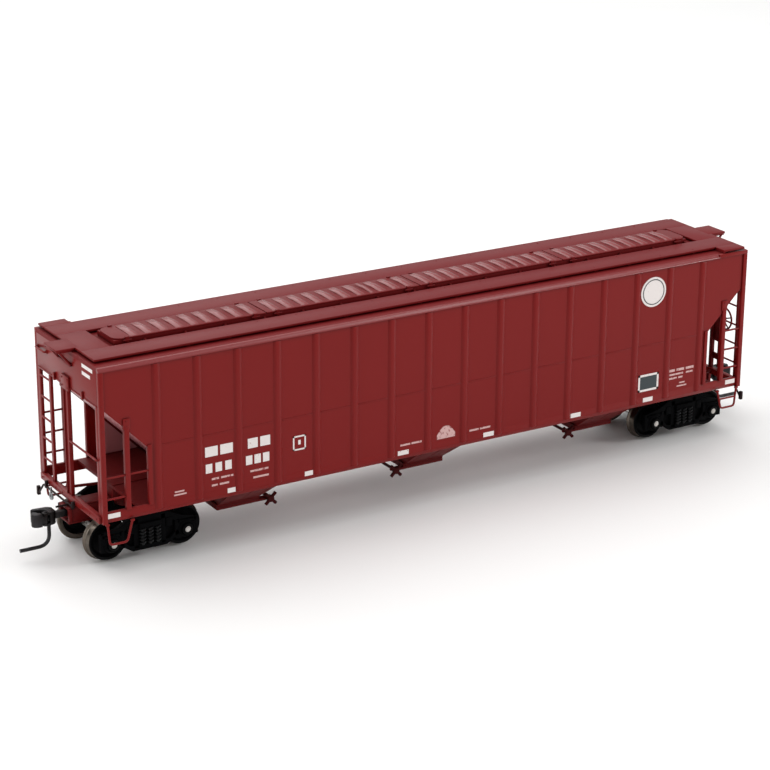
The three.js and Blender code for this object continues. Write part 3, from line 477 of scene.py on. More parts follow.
def side_panel():
    """The near side, with the ladder corner at +X."""
    kit = Kit()
    edge, back, face = HALF_LENGTH - 0.15, -IN_Y - 0.03, -SHEET_Y - 0.01
    sheet = [
        (-CUT_X, SILL_KNEE + 0.2),
        (CUT_X, SILL_KNEE + 0.2),
        (CUT_X, slope_z(CUT_X)),
        (POST_IN, slope_z(POST_IN)),
        (edge, slope_z(POST_IN)),
        (edge, SIDE_TOP),
        (-edge, SIDE_TOP),
        (-edge, slope_z(POST_IN)),
        (-POST_IN, slope_z(POST_IN)),
        (-CUT_X, slope_z(CUT_X)),
    ]
    kit.prism(sheet, "y", -SHEET_Y, back, bevel=0.06, segments=1)
    for x in RIB_X:
        rib = [(x - 1.8, -17.8), (x - 0.5, -OUT_Y), (x + 0.5, -OUT_Y), (x + 1.8, -17.8)]
        kit.prism(rib, "z", SILL_KNEE, SIDE_TOP - 0.05, bevel=0.28, segments=3)
    for low, high in zip(RIB_X, RIB_X[1:]):
        kit.box((low + 1.1, high - 1.1), (-SHEET_Y - 0.07, -SHEET_Y + 0.2), (31.55, 31.85), bevel=0.04)
    sill = [(back, SILL[0]), (back, SILL[1]), (face, SILL[1]), (face, SILL_KNEE), (-SILL_TOE_Y, SILL[0])]
    kit.prism(sill, "x", -HALF_LENGTH + 0.1, HALF_LENGTH - 0.1, bevel=0.16)
    low = SILL[1] - 0.2
    strips = (
        (MID_X - 0.65, MID_X + 0.65, -OUT_Y + 0.02, -IN_Y, low, slope_z(MID_X) + 1),
        (MID_X - 0.95, MID_X + 0.95, -OUT_Y + 0.1, back, 37.4, 40.2),
        (CUT_X - 1.1, CUT_X + 0.03, -OUT_Y + 0.1, -IN_Y, low, slope_z(CUT_X) + 0.6),
    )
    for end in (-1, 1):
        kit.box((end * POST_IN, end * HALF_LENGTH), (-OUT_Y, -IN_Y), (SILL[0], SIDE_TOP), bevel=0.16)
        for x0, x1, y0, y1, z0, z1 in strips:
            kit.box((end * x0, end * x1), (y0, y1), (z0, z1), bevel=0.14)
        for z in (38.0, 39.6):
            kit.bolt((end * MID_X, -OUT_Y + 0.05, z), (0, -1, 0), 0.2, 0.1)
        for z in (18.5, 25.0, 31.5, 38.0, 44.5):
            kit.bolt((end * (POST_IN + 0.65), -OUT_Y + 0.02, z), (0, -1, 0), 0.2, 0.12)
    # Painted reflection: thin pale liners on the inner face stand in for light glancing into the ladder's
    # opening.
    kit.paint = 1
    for end in (-1, 1):  # the paler corner inside the ladder's opening
        liner = [(end * 71.6, 17.1), (end * 81.6, 17.1), (end * 81.6, 27.1)]
        kit.prism(liner, "y", -IN_Y - 0.05, -IN_Y + 0.04, bevel=0.0)
    kit.paint = 0
    y = -(SHEET_Y + IN_Y) / 2 - 0.3
    for i in range(3):
        z = RUNG_LOW + i * RUNG_PITCH
        kit.wire([(MID_X - 0.5, y, z), (POST_IN + 0.5, y, z)], WIRE)
    kit.wire([(-MID_X + 0.5, y, RUNG_LOW), (-POST_IN - 0.5, y, RUNG_LOW)], WIRE)
    upper = RUNG_LOW + RUNG_PITCH
    kit.wire([(-CUT_X + 0.3, y, upper), (-POST_IN - 0.5, y, upper)], WIRE)
    return kit


def end_frame():
    """The frame of the +X end. The handrail is on its +Y half, a grab iron on the other."""
    kit = Kit()
    side = IN_Y
    kit.box((END_IN, HALF_LENGTH), (-side, side), (PANEL_BOTTOM, SIDE_TOP), bevel=0.04)
    lip = (PANEL_BOTTOM - 0.05, PANEL_BOTTOM + 0.4)
    kit.box((END_IN + 0.1, HALF_LENGTH + 0.12), (-side + 0.2, side - 0.2), lip, bevel=0.1)
    for y in (-1, 1):
        kit.box((END_IN, HALF_LENGTH), (y * (side - 1.35), y * side), (15.7, PANEL_BOTTOM), bevel=0.05)
    kit.box((97.8, 98.5), (-1.2, 1.2), (15.7, PANEL_BOTTOM), bevel=0.08)
    for y in (-1, 1):
        kit.box((97.8, 98.86), (y * 0.95, y * 1.4), (15.7, PANEL_BOTTOM + 0.1), bevel=0.12)
    kit.box((END_IN, 98.9), (-side, side), (SILL[0], 15.8), bevel=0.16)
    kit.box((98.2, 98.9), (-2.1, 2.1), (PANEL_BOTTOM - 0.6, PANEL_BOTTOM + 3.0), bevel=0.16)
    for y in (-1.5, 1.5):
        for z in (PANEL_BOTTOM + 0.2, PANEL_BOTTOM + 2.3):
            kit.bolt((98.9, y, z), (1, 0, 0), 0.24)
    for y in (9.4, -6.9):
        kit.box((98.2, 98.8), (y - 0.45, y + 0.45), (PANEL_BOTTOM - 0.3, PANEL_BOTTOM + 1.6), bevel=0.14)
    root = END_IN + 0.3
    kit.wire([(98.6, 1.0, 30.3), (98.6, side - 0.65, 30.3), (root, side - 0.65, 30.3)], WIRE, 0.5)
    grab, z, ends = 99.0, 49.5, (-11.4, -16.8)
    kit.wire([(root, ends[0], z), (grab, ends[0], z), (grab, ends[1], z), (root, ends[1], z)], WIRE, 0.5)
    for y in ends:
        kit.disc((HALF_LENGTH - 0.05, y, z), (1, 0, 0), 0.55, 0.25)
    for y in range(-16, 17, 4):
        if abs(y) > 3:
            kit.bolt((98.9, y, 14.9), (1, 0, 0), 0.24)
    return kit


def end_ladder():
    """One stile at -Y with rungs that run to the corner post."""
    kit = Kit()
    y, top = -9.9, PANEL_BOTTOM - 0.02
    kit.box((97.9, 98.5), (y - 0.6, y + 0.6), (15.8, top), bevel=0.1)
    kit.box((97.8, 98.54), (y + 0.3, y + 0.64), (15.8, top), bevel=0.06)
    for z in (17.0, 22.9, 28.4, 33.9, 39.4):
        kit.bolt((98.5, y - 0.1, z), (1, 0, 0), 0.2, 0.1)
    for i in range(5):
        z = RUNG_LOW + i * RUNG_PITCH
        kit.wire([(98.2, -16.1, z), (98.2, -10.0, z)], 0.27)
    return kit


def roof_panel():
    """The roof, its rounded eaves and the coamings and stops of the hatches."""
    kit = Kit()
    kit.box((-HALF_LENGTH, HALF_LENGTH), (-ROOF_Y, ROOF_Y), (SIDE_TOP, ROOF_TOP), bevel=0.0)
    # The rounded eave takes the lighter, glossier hatch paint, a painted highlight along the eave.
    kit.paint = 1
    bend = [(OUT_Y - 0.02, 53.0), (18.5, 53.18), (18.3, 53.4), (18.0, 53.7), (17.82, 53.84)]
    eave = [(OUT_Y, SIDE_TOP), *bend, (ROOF_Y, ROOF_TOP), (ROOF_Y, SIDE_TOP)]
    for side in (-1, 1):
        outline = [(side * y, z) for y, z in eave]
        kit.prism(outline, "x", side * HALF_LENGTH, -side * EAVE_END, bevel=0.0, smooth=True)
    kit.paint = 2
    for side in (-1, 1):
        corner = (side * ROOF_Y, side * OUT_Y)
        kit.box((-side * EAVE_END, -side * HALF_LENGTH), corner, (SIDE_TOP, ROOF_TOP), bevel=0.1)
    kit.paint = 0
    for y in (-4.45, 4.45):
        kit.box((-87.5, 87.5), (y - 0.35, y + 0.35), (ROOF_TOP - 0.1, 55.2), bevel=0.08)
    for x in (-87.15, 87.15):
        kit.box((x - 0.32, x + 0.32), (-4.76, 4.76), (ROOF_TOP - 0.1, 55.17), bevel=0.08)
    for x in RIB_X:
        for side in (-1, 1):
            kit.box((x + 3.4, x + 4.0), (side * 4.7, side * 5.6), (ROOF_TOP - 0.1, 54.6), bevel=0.06)
    return kit


def hatch_cover(length, ribs, battens, round_end):
    """One cover from x = 0 to its length, with its corrugations and latches."""
    kit = Kit()
    if round_end:
        arc = [math.pi / 2 * i / 8 for i in range(9)]
        corner = [(length - 2.65 + 2.5 * math.sin(a), 2.5 + 2.5 * math.cos(a)) for a in arc]
        other = [(x, -y) for x, y in reversed(corner)]
        kit.prism([(0.15, -5.0), (0.15, 5.0), *corner, *other], "z", *COVER_Z, bevel=0.1)
    else:
        kit.box((0.15, length - 0.15), (-5.0, 5.0), COVER_Z, bevel=0.1)
    # The ribs take the lighter, glossier hatch paint and the plate the darker top paint: painted highlight
    # on the ribs and painted shade in the gaps.
    kit.paint = 1
    for x, half in [(x, 1.2) for x in ribs] + [(x, 0.6) for x in battens]:
        outline = []
        for i in range(9):
            a = math.pi * i / 8
            outline.append((x - half * math.cos(a), 55.5 + 0.72 * math.sin(a) ** 0.7))
        kit.gable(outline, 4.55, 3.75)
    kit.paint = 0
    for x in (3.2, length - 3.6):
        for y in (-1, 1):
            kit.box((x - 0.5, x + 0.5), (y * 4.6, y * 5.35), (54.5, 55.9), bevel=0.1)
            kit.wire([(x - 1.1, y * 5.25, 55.0), (x + 1.1, y * 5.25, 55.0)], 0.2)
    return kit


def running_board():
    kit = Kit()
    lo, hi = BOARD
    for side in (-1, 1):
        kit.box((-97.35, 97.35), (side * 7.0, side * 14.5), (lo, hi), bevel=0.1)
        kit.box((side * 89.6, side * 97.33), (-7.4, 7.4), (lo + 0.02, hi - 0.01), bevel=0.1)
        kit.box((side * 96.4, side * 102.3), (-3.7, 3.7), (lo + 0.01, hi), bevel=0.1)
        kit.box((side * 90.2, side * 97.34), (-side * 14.1, -side * 18.3), (lo + 0.02, hi - 0.01), bevel=0.1)
        kit.box((side * 90.2, side * 90.6), (-side * 14.4, -side * 18.3), (lo - 0.35, lo), bevel=0.05)
        for y in (-3.3, 3.3):
            kit.wire([(side * 101.6, y, lo + 0.1), (side * 98.6, y, 50.6)], 0.32)
            kit.box((side * 96.5, side * 102.1), (y - 0.2, y + 0.2), (lo - 0.4, lo + 0.05), bevel=0.05)
        kit.box((side * 98.35, side * 98.95), (-3.7, 3.7), (50.2, 50.9), bevel=0.1)
        for x in RIB_X:
            kit.box((x - 0.5, x + 0.5), (side * 7.4, side * 14.1), (ROOF_TOP - 0.02, lo + 0.05), bevel=0.06)
            for y in (8.2, 13.3):
                kit.bolt((x, side * y, hi), (0, 0, 1), 0.22, 0.05)
    return kit


def slope_sheet():
    kit = Kit()
    thick = 0.8 * math.sqrt(2)
    top = 97.45
    foot = SLOPE_RISE + SILL[1] - 0.2
    low, high = SILL[1], slope_z(top) + 0.2
    outline = [(foot, low), (top, high), (top, high + thick), (foot - thick, low)]
    kit.prism(outline, "y", -IN_Y + 0.05, IN_Y - 0.05, bevel=0.05)
    return kit


def hopper_bay():
    kit = Kit()
    kit.box((-7.5, 7.5), (-17.1, 17.1), (14.0, 16.05), bevel=0.1)
    kit.hull8((-5.8, 5.8, -7.0, 7.0), (-7.1, 7.1, -16.9, 16.9), (7.1, 14.05), bevel=0.15)
    for x in (-1, 1):
        kit.box((x * 5.7, x * 6.3), (-7.3, 7.3), (7.12, 7.9), bevel=0.1)
    for y in (-1, 1):
        kit.box((-6.2, 6.2), (y * 6.9, y * 7.45), (7.12, 7.85), bevel=0.1)
        for x in (-4.4, 0, 4.4):
            kit.sweep([(x, y * 7.0, 7.6), (x * 1.2, y * 16.6, 14.0)], 0.35, 8)
    return kit


def outlet_gate():
    """The gate about x = 0, with its capstan shaft at +X."""
    kit = Kit()
    kit.box((-6.2, 6.2), (-7.4, 7.4), (6.2, 7.1), bevel=0.14)
    kit.box((-5.4, 5.4), (-5.8, 5.8), (5.95, 6.25), bevel=0.1)
    for y in (-1, 1):
        kit.box((6.0, 9.8), (y * 6.25, y * 6.95), (6.22, 7.08), bevel=0.12)
        kit.box((-6.1, 8.6), (y * 7.2, y * 7.5), (6.15, 6.75), bevel=0.1)
        # The capstans and the shaft take the darkest paint, painted shade under the car.
        kit.paint = 1
        centre = Vector((9.0, y * 8.2, 6.65))
        for k in range(4):
            a = math.pi / 4 + k * math.pi / 2
            tip = centre + Vector((2.1 * math.cos(a), 0, 2.1 * math.sin(a)))
            kit.sweep([centre, tip], 0.45, 10)
        kit.disc(centre - Vector((0, 0.5, 0)), (0, 1, 0), 0.9, 1.0)
        kit.paint = 0
    kit.paint = 1
    kit.sweep([(9.0, -8.6, 6.65), (9.0, 8.6, 6.65)], 0.4, 14)
    kit.paint = 0
    for x in (-4, 0, 4):
        kit.box((x - 0.3, x + 0.3), (-7.0, 7.0), (5.9, 6.3), bevel=0.08)
    return kit


def floor_plate():
    kit = Kit()
    kit.box((-88.5, 88.5), (-17.35, 17.35), FLOOR, bevel=0.05, segments=1)
    for side in (-1, 1):
        kit.box((side * 70.9, side * 88.4), (-3.1, 3.1), (16.85, 17.1), bevel=0.08)
    return kit


def underframe():
    kit = Kit()
    kit.box((70.5, 88.5), (-3.2, 3.2), (13.06, 16.1), bevel=0.15)
    kit.box((87.5, 98.3), (-2.4, 2.4), (13.0, 13.6), bevel=0.12)
    for y in (-1, 1):
        kit.box((70.55, 88.45), (y * 3.1, y * 4.1), (13.03, 13.5), bevel=0.08)
    kit.wire([(84.5, -6.3, 14.0), (97.45, -6.3, 15.1)], 0.38)
    beam = [(-17.35, 16.06), (-17.35, 14.6), (-5, 13.0), (5, 13.0), (17.35, 14.6), (17.35, 16.06)]
    kit.prism(beam, "x", 81.0, 85.4, bevel=0.15)
    kit.disc((83.2, 0, 10.6), (0, 0, 1), 3.2, 2.6, sides=32)
    kit.box((91.62, 100.36), (-2.71, 2.71), (12.5, 13.1), bevel=0.12)
    for y in (-1, 1):
        kit.box((91.6, 100.4), (y * 2.15, y * 2.75), (9.5, 13.0), bevel=0.12)
        kit.box((99.5, 100.4), (y * 2.75, y * 3.15), (9.6, 12.9), bevel=0.12)
    kit.box((91.64, 92.2), (-2.6, 2.6), (9.53, 12.97), bevel=0.1)
    kit.disc((PIVOT_X, 0, 9.5), (0, 0, 1), 0.7, 3.1)
    return kit


def box_lid():
    kit = Kit()
    kit.box((91.6, 100.4), (-2.75, 2.75), (8.9, 9.5), bevel=0.16)
    kit.disc((PIVOT_X, 0, 8.4), (0, 0, 1), 1.1, 0.6)
    kit.box((93.1, 94.7), (-0.16, 0.16), (8.33, 8.45), bevel=0.04)
    return kit


# ---------------------------------------------------------------- trucks


def truck_frame():
    """A truck frame about x = 0: two cast side frames with springs, joined by the bolster."""
    kit = Kit()
    top = [
        (-4.4, 11.9), (4.4, 11.9), (8.7, 9.7), (12.3, 8.8), (12.3, 7.9), (8.2, 8.1),
        (4.3, 9.6), (-4.3, 9.6), (-8.2, 8.1), (-12.3, 7.9), (-12.3, 8.8), (-8.7, 9.7),
    ]
    bottom = [
        (-7.6, 6.3), (-5.4, 4.1), (5.4, 4.1), (7.6, 6.3),
        (8.3, 5.0), (4.7, 2.6), (-4.7, 2.6), (-8.3, 5.0),
    ]
    ring = [(1.2, 0), (2.15, 0), (2.3, 0.15), (2.3, 1.35), (2.1, 1.6), (1.5, 1.6), (1.2, 1.4), (1.2, 0)]
    for side in (-1, 1):
        inner, outer = side * 11.3, side * 12.7
        kit.prism(top, "y", inner, outer, bevel=0.22)
        kit.prism(bottom, "y", inner, outer, bevel=0.2)
        for x in (-1, 1):
            kit.box((x * 3.0, x * 4.4), (inner, outer), (3.2, 11.2), bevel=0.18)
            kit.box((x * 6.9, x * 8.3), (inner, outer), (4.2, 8.9), bevel=0.18)
            kit.box((x * 12.0, x * 13.4), (inner, outer), (3.9, 8.7), bevel=0.25)
            kit.box((x * 7.6, x * 13.0), (inner, outer), (7.5, 8.7), bevel=0.2)
            centre = (x * WHEELBASE / 2, side * 11.3, AXLE_Z)
            kit.turn(ring, centre, (0, side, 0), 28)
            kit.box((x * 8.2, x * 12.0), (side * 11.4, side * 12.5), (7.2, 8.2), bevel=0.15)
            kit.box((x * 4.4, x * 6.2), (side * 11.9, side * 12.9), (7.4, 9.8), bevel=0.2)
        kit.box((-3.1, 3.1), (side * 11.4, side * 13.2), (3.2, 4.2), bevel=0.18)
        kit.box((-7.0, 7.0), (side * 11.35, side * 11.75), (3.6, 9.8), bevel=0.08)
        kit.box((-3.0, 3.0), (side * 10.6, side * 13.4), (8.4, 9.9), bevel=0.25)
        kit.paint = 1
        for x in (-2.05, 0, 2.05):
            kit.sweep(helix((x, side * 12.9), 0.72, 4.1, 8.5, 5.0), 0.2, 7)
            kit.disc((x, side * 12.9, 4.0), (0, 0, 1), 0.42, 4.5, sides=10)
        kit.paint = 0
        for x in (-7.6, -4.9, 4.9, 7.6):
            kit.bolt((x, outer, 9.0 if abs(x) < 6 else 8.3), (0, side, 0), 0.3)
    kit.box((-2.6, 2.6), (-11.6, 11.6), (6.6, 9.9), bevel=0.3)
    kit.turn([(1.15, 9.0), (3.4, 9.0), (3.4, 10.4), (3.3, 10.5), (1.15, 10.5), (1.15, 9.0)], sides=32)
    for x in (-1, 1):
        kit.box((x * 3.7, x * 4.5), (-8.6, 8.6), (5.2, 6.2), bevel=0.15)
        for y in (-8.6, 8.6):
            kit.box((x * 3.5, x * 4.7), (y - 1.0, y + 1.0), (3.9, 7.6), bevel=0.25)
    return kit


def truck_screw():
    kit = Kit()
    kit.disc((0, 0, 6.4), (0, 0, 1), 0.9, 8.0, sides=20)
    kit.turn([(0, 5.75), (0.2, 5.5), (1.5, 5.5), (2.0, 5.8), (2.0, 6.45), (0, 6.45)], sides=28)
    kit.box((-1.5, 1.5), (-0.18, 0.18), (5.45, 5.6), bevel=0.03)
    return kit


def axle():
    """An axle along Y with its bearing caps."""
    half = [
        (0, 13.7), (0.5, 13.7), (0.55, 13.62), (1.0, 13.62), (1.3, 13.5), (1.4, 13.35),
        (1.4, 13.1), (0.95, 13.05), (0.95, 10.4), (1.3, 10.2), (1.3, 9.9), (1.0, 9.6),
        (1.0, 7.4), (1.25, 7.2), (1.25, 6.9), (0.85, 6.5), (0.8, 0),
    ]
    whole = half + [(r, -h) for r, h in reversed(half[:-1])]
    kit = Kit().turn(whole, axis=(0, 1, 0), sides=24)
    kit.paint = 1
    cover = [
        (0.72, 13.5), (0.78, 13.69), (1.25, 13.66), (1.42, 13.5),
        (1.44, 13.1), (1.35, 13.05), (0.72, 13.3), (0.72, 13.5),
    ]
    for side in (-1, 1):
        kit.turn([(r, side * h) for r, h in cover], axis=(0, 1, 0), sides=24)
        for k in range(3):
            a = 2 * math.pi * k / 3 + 0.5
            kit.bolt((1.08 * math.cos(a), side * 13.65, 1.08 * math.sin(a)), (0, side, 0), 0.13, 0.05)
    return kit


def wheel():
    """A wheel about Y with its face towards +Y: a bright rim round a black web."""
    kit = Kit()
    rim = [
        (4.35, 7.5), (4.5, 7.22), (5.3, 7.2), (5.6, 7.24), (5.78, 7.38), (5.8, 7.5),
        (5.72, 7.66), (5.45, 7.86), (5.28, 8.05), (5.25, 8.3), (5.21, 9.6), (5.14, 9.78),
        (4.9, 9.82), (4.35, 9.6), (4.35, 7.5),
    ]
    kit.turn(rim, axis=(0, 1, 0), sides=72)
    kit.paint = 1
    web = [
        (1.0, 7.3), (1.9, 7.3), (2.1, 7.5), (2.3, 7.9), (3.4, 8.2), (4.0, 7.7),
        (4.36, 7.5), (4.5, 9.7), (5.1, 9.74), (5.13, 9.86), (5.02, 9.97), (4.85, 10.0),
        (4.6, 9.98), (4.42, 9.85), (4.3, 9.5), (4.1, 9.2), (3.8, 8.95), (3.1, 8.75),
        (2.3, 8.8), (2.0, 9.1), (1.9, 9.7), (1.7, 9.85), (1.0, 9.85), (1.0, 7.3),
    ]
    kit.turn(web, axis=(0, 1, 0), sides=48)
    return kit


# ---------------------------------------------------------------- couplers and small parts


def coupler_head():
    kit = Kit()
    low, high = COUPLER_Z - 1.7, COUPLER_Z + 1.7
    kit.box((PIVOT_X + 0.9, 104), (-0.8, 0.8), (COUPLER_Z - 0.8, COUPLER_Z + 0.8), bevel=0.2)
    eye = [(0.9, -0.8), (1.5, -0.8), (1.5, 0.8), (0.9, 0.8), (0.9, -0.8)]
    kit.turn(eye, (PIVOT_X, 0, COUPLER_Z), sides=24)
    head = [
        (103.2, -1.3), (104.4, -2.1), (107.8, -2.5), (108.6, -2.0), (107.8, -1.4), (106.3, -1.0),
        (105.4, -0.4), (105.1, 0.4), (105.0, 2.1), (103.9, 2.0), (103.2, 1.3),
    ]
    kit.prism(head, "z", low, high, bevel=0.2)
    for z in (low, high - 0.6):
        kit.disc((*KNUCKLE, z), (0, 0, 1), 0.85, 0.6, sides=20)
        kit.box((104.9, KNUCKLE[0]), (KNUCKLE[1] - 0.75, KNUCKLE[1] + 0.75), (z, z + 0.6), bevel=0.08)
    kit.turn([(0, 0), (0.3, 0), (0.3, 0.1), (0.2, 0.18), (0, 0.18)], (*KNUCKLE, high - 0.03), sides=12)
    return kit


def knuckle():
    kit = Kit()
    low, high = COUPLER_Z - 1.7, COUPLER_Z + 1.7
    kit.disc((*KNUCKLE, low + 0.7), (0, 0, 1), 0.75, 2.0, sides=20)
    kit.box((KNUCKLE[0], 107.6), (KNUCKLE[1] - 0.55, KNUCKLE[1] + 0.7), (low + 0.7, high - 0.7), bevel=0.1)
    nose = [
        (107.05, 0.8), (107.6, 0.6), (107.9, -0.1), (108.5, -0.5), (109.2, -0.1),
        (109.5, 0.8), (109.2, 1.7), (108.4, 2.2), (107.05, 2.25),
    ]
    kit.prism(nose, "z", low, high, bevel=0.2)
    return kit


def trip_pin():
    kit = Kit()
    kit.wire([(104.6, 0, 9.6), (104.6, 0, 3.5), (112.5, 0, 3.5)], 0.48, 3.4, sides=14, steps=14)
    kit.disc((104.6, 0, 8.9), (0, 0, 1), 0.75, 0.65, sides=16)
    return kit


def cut_lever():
    """The uncoupling lever of the +X end, with its handle at -Y."""
    kit = Kit()
    x, z = 99.4, 13.55
    kit.wire([(102.9, 0.9, z), (x, 0.9, z), (x, -14.4, z), (x, -18.0, 9.7)], 0.27, 0.6)
    kit.wire([(x, 0.7, z), (x, 3.4, z)], 0.27)
    kit.box((x - 0.45, x + 0.45), (-18.3, -17.3), (9.6, 12.0), bevel=0.2)
    for y in (3.2, -12.8):
        kit.box((98.9, x + 0.3), (y - 0.4, y + 0.4), (14.1, 15.0), bevel=0.1)
        kit.box((x - 0.35, x + 0.35), (y - 0.4, y + 0.4), (13.15, 14.3), bevel=0.1)
    return kit


def lever_eye():
    """The bright eye that carries the lever next to its handle."""
    kit = Kit().sweep(circle((99.4, -9.9, 11.9), 0.75, 20), 0.3, 8, closed=True)
    kit.wire([(99.4, -9.9, 12.6), (99.4, -9.9, 14.2)], WIRE)
    return kit


def stirrup(tread):
    """The step under the +X corner at -Y, with an upper tread or without."""
    kit = Kit()
    y = -18.3
    kit.wire([(90.4, y, 14.05), (91.9, y, 8.4), (96.6, y, 8.4), (97.1, y, 14.05)], 0.3, 0.9)
    if tread:
        kit.wire([(91.1, y, 11.2), (96.85, y, 11.2)], 0.27)
    for x in (90.4, 97.1):
        kit.box((x - 0.5, x + 0.5), (y - 0.3, y + 0.3), (13.5, 14.05), bevel=0.1)
    return kit


def brake_housing():
    """Two posts beside the centre post, with the gear case between them."""
    kit = Kit()
    kit.box((HALF_LENGTH, 98.9), (-9.23, -4.67), (24.0, 36.0), bevel=0.16)
    kit.box((HALF_LENGTH + 0.02, 98.95), (-9.1, -4.8), (18.6, 20.4), bevel=0.12)
    kit.box((97.8, 98.88), (-5.9, -4.7), (15.85, 43.85), bevel=0.14)
    kit.box((98.5, 98.86), (-9.2, -8.0), (15.85, 43.85), bevel=0.08)
    gear_case = [(0, 0), (2.2, 0), (2.2, 0.9), (1.9, 1.4), (0.9, 1.7), (0, 1.7)]
    kit.turn(gear_case, (98.85, -6.8, 30.2), (1, 0, 0), 28)
    kit.box((98.8, 100.2), (-8.0, -5.6), (24.5, 30.2), bevel=0.25)
    kit.wire([(99.5, -6.8, 24.8), (99.5, -6.8, 15.9)], 0.25)
    for y in (-8.7, -5.2):
        for z in (24.7, 35.3):
            kit.bolt((98.9, y, z), (1, 0, 0), 0.22)
    return kit


def brake_wheel():
    kit = Kit()
    x, y, z, r = 101.2, -6.8, 30.2, 3.1
    kit.sweep(circle((x, y, z), r, 40), 0.28, 10, closed=True)
    kit.disc((100.5, y, z), (1, 0, 0), 0.65, 1.0, sides=20)
    for k in range(5):
        a = 2 * math.pi * k / 5 + math.pi / 2
        tip = (x, y + r * math.cos(a), z + r * math.sin(a))
        bend = (x - 0.25, y + r / 2 * math.cos(a), z + r / 2 * math.sin(a))
        kit.sweep([(x - 0.1, y, z), bend, tip], 0.2, 8)
    return kit


def brake_cylinder():
    kit = Kit()
    z = 16.1
    drum = [(0, 0), (1.7, 0), (2.1, 0.3), (2.1, 4.9), (2.3, 5.0), (2.3, 5.5), (1.4, 5.8), (0, 5.8)]
    kit.turn(drum, (89.8, 0, z), (1, 0, 0), 32)
    kit.disc((95.5, 0, z), (1, 0, 0), 0.5, 1.3)
    kit.box((90.8, 94.6), (-1.3, 1.3), (13.6, z), bevel=0.12)
    return kit


def air_reservoir():
    kit = Kit()
    x, z = 85.4, 19.6
    drum = [(0, 0), (1.3, 0), (2.1, 0.5), (2.3, 1.2), (2.3, 9.3), (2.1, 10.0), (1.3, 10.5), (0, 10.5)]
    kit.turn(drum, (x, -16, z), (0, 1, 0), 32)
    for y in (-14.0, -7.5):
        kit.box((x - 1.4, x + 1.4), (y - 0.6, y + 0.6), (16.9, z), bevel=0.12)
        strap = [(2.25, -0.3), (2.4, -0.3), (2.4, 0.3), (2.25, 0.3), (2.25, -0.3)]
        kit.turn(strap, (x, y, z), (0, 1, 0), 32)
    return kit


def control_valve():
    kit = Kit()
    kit.box((83.8, 86.8), (6.2, 9.8), (16.9, 21.1), bevel=0.3)
    kit.disc((85.3, 8, 21.0), (0, 0, 1), 1.3, 1.3, bevel=0.2)
    kit.disc((85.3, 9.6, 18.9), (0, 1, 0), 0.8, 2.8, bevel=0.15)
    for x in (84.2, 86.4):
        for y in (6.6, 9.4):
            kit.bolt((x, y, 21.1), (0, 0, 1), 0.2)
    return kit


# ---------------------------------------------------------------- markings


def plate(kit, x, z, thick=0.05):
    """A thin flat mark on the side, x and z being its spans."""
    kit.box(x, (-SHEET_Y - thick, -SHEET_Y + 0.05), z, bevel=0.0)


def square(kit, x, z, line):
    """A square outline of four flat marks, x and z being its outer spans."""
    for low in (z[1] - line, z[0]):
        plate(kit, x, (low, low + line))
    for left in (x[0], x[1] - line):
        plate(kit, (left, left + line), z)


def white_marks():
    """Generic marks of the side: reflectors on the sill, blank blocks, bars, a square and a disc."""
    kit = Kit()
    for x in (-95.2, -62.6, -40.6, -13.0, 13.5, 41.7, 66.0, 94.8):
        plate(kit, (x - 1.65, x + 1.65), (15.25, 16.5))
    for x0, x1 in ((-70.3, -66.8), (-66.1, -62.6), (-58.4, -55.6), (-54.9, -52.1)):
        plate(kit, (x0, x1), (25.9, 28.5))
    for x0 in (-70.2, -67.5, -64.8, -59.0, -56.6, -54.2):
        plate(kit, (x0, x0 + 1.8), (21.6, 24.0))
    square(kit, (-45.6, -41.9), (22.7, 26.6), 0.4)
    plate(kit, (-44.1, -43.4), (24.2, 25.4))
    kit.disc((66.4, -SHEET_Y + 0.05, 46.7), (0, -1, 0), 4.2, 0.12, bevel=0.02, sides=64)
    square(kit, (62.5, 69.4), (18.4, 23.3), 0.6)
    return kit


def faint_marks():
    """Small blank bars where the side has lines of print, and the domed mark in its middle."""
    kit = Kit()
    rows = [
        (-68.6, -66.6, 19.6, 20.1), (-66.0, -62.6, 19.6, 20.1), (-68.6, -67.0, 17.9, 18.4),
        (-66.4, -63.8, 17.9, 18.4), (-57.8, -52.7, 19.5, 20.0), (-57.0, -52.6, 17.7, 18.2),
        (-78.8, -76.2, 18.3, 18.7), (-79.0, -75.6, 17.5, 17.9), (-13.9, -10.9, 17.7, 18.2),
        (-10.5, -7.4, 17.7, 18.2), (7.4, 10.3, 17.7, 18.2), (10.7, 14.0, 17.7, 18.2),
        (73.0, 75.0, 22.4, 23.1), (75.6, 78.2, 22.4, 23.1), (78.8, 81.5, 22.4, 23.1),
        (73.2, 77.9, 21.3, 21.8), (78.9, 81.2, 21.3, 21.8), (73.0, 75.8, 20.2, 20.7),
        (76.3, 77.8, 20.2, 20.7), (76.6, 78.6, 18.6, 19.0), (75.9, 79.3, 17.7, 18.1),
    ]
    for x0, x1, z0, z1 in rows:
        plate(kit, (x0, x1), (z0, z1))
    dome = [
        (-2.7, 17.4), (2.9, 17.4), (2.9, 18.6), (1.6, 20.2),
        (0.8, 20.8), (-0.6, 20.8), (-1.5, 20.1), (-2.7, 18.6),
    ]
    kit.prism(dome, "y", -SHEET_Y - 0.05, -SHEET_Y + 0.05, bevel=0.0)
    return kit


def dark_plate():
    """The dark blank in the white square and the dark ring on the white disc."""
    kit = Kit()
    plate(kit, (63.0, 68.9), (18.9, 22.8), thick=0.04)
    ring = [(3.35, 0), (3.6, 0), (3.6, 0.08), (3.35, 0.08), (3.35, 0)]
    kit.turn(ring, (66.4, -SHEET_Y - 0.04, 46.7), (0, -1, 0), 64)
    return kit


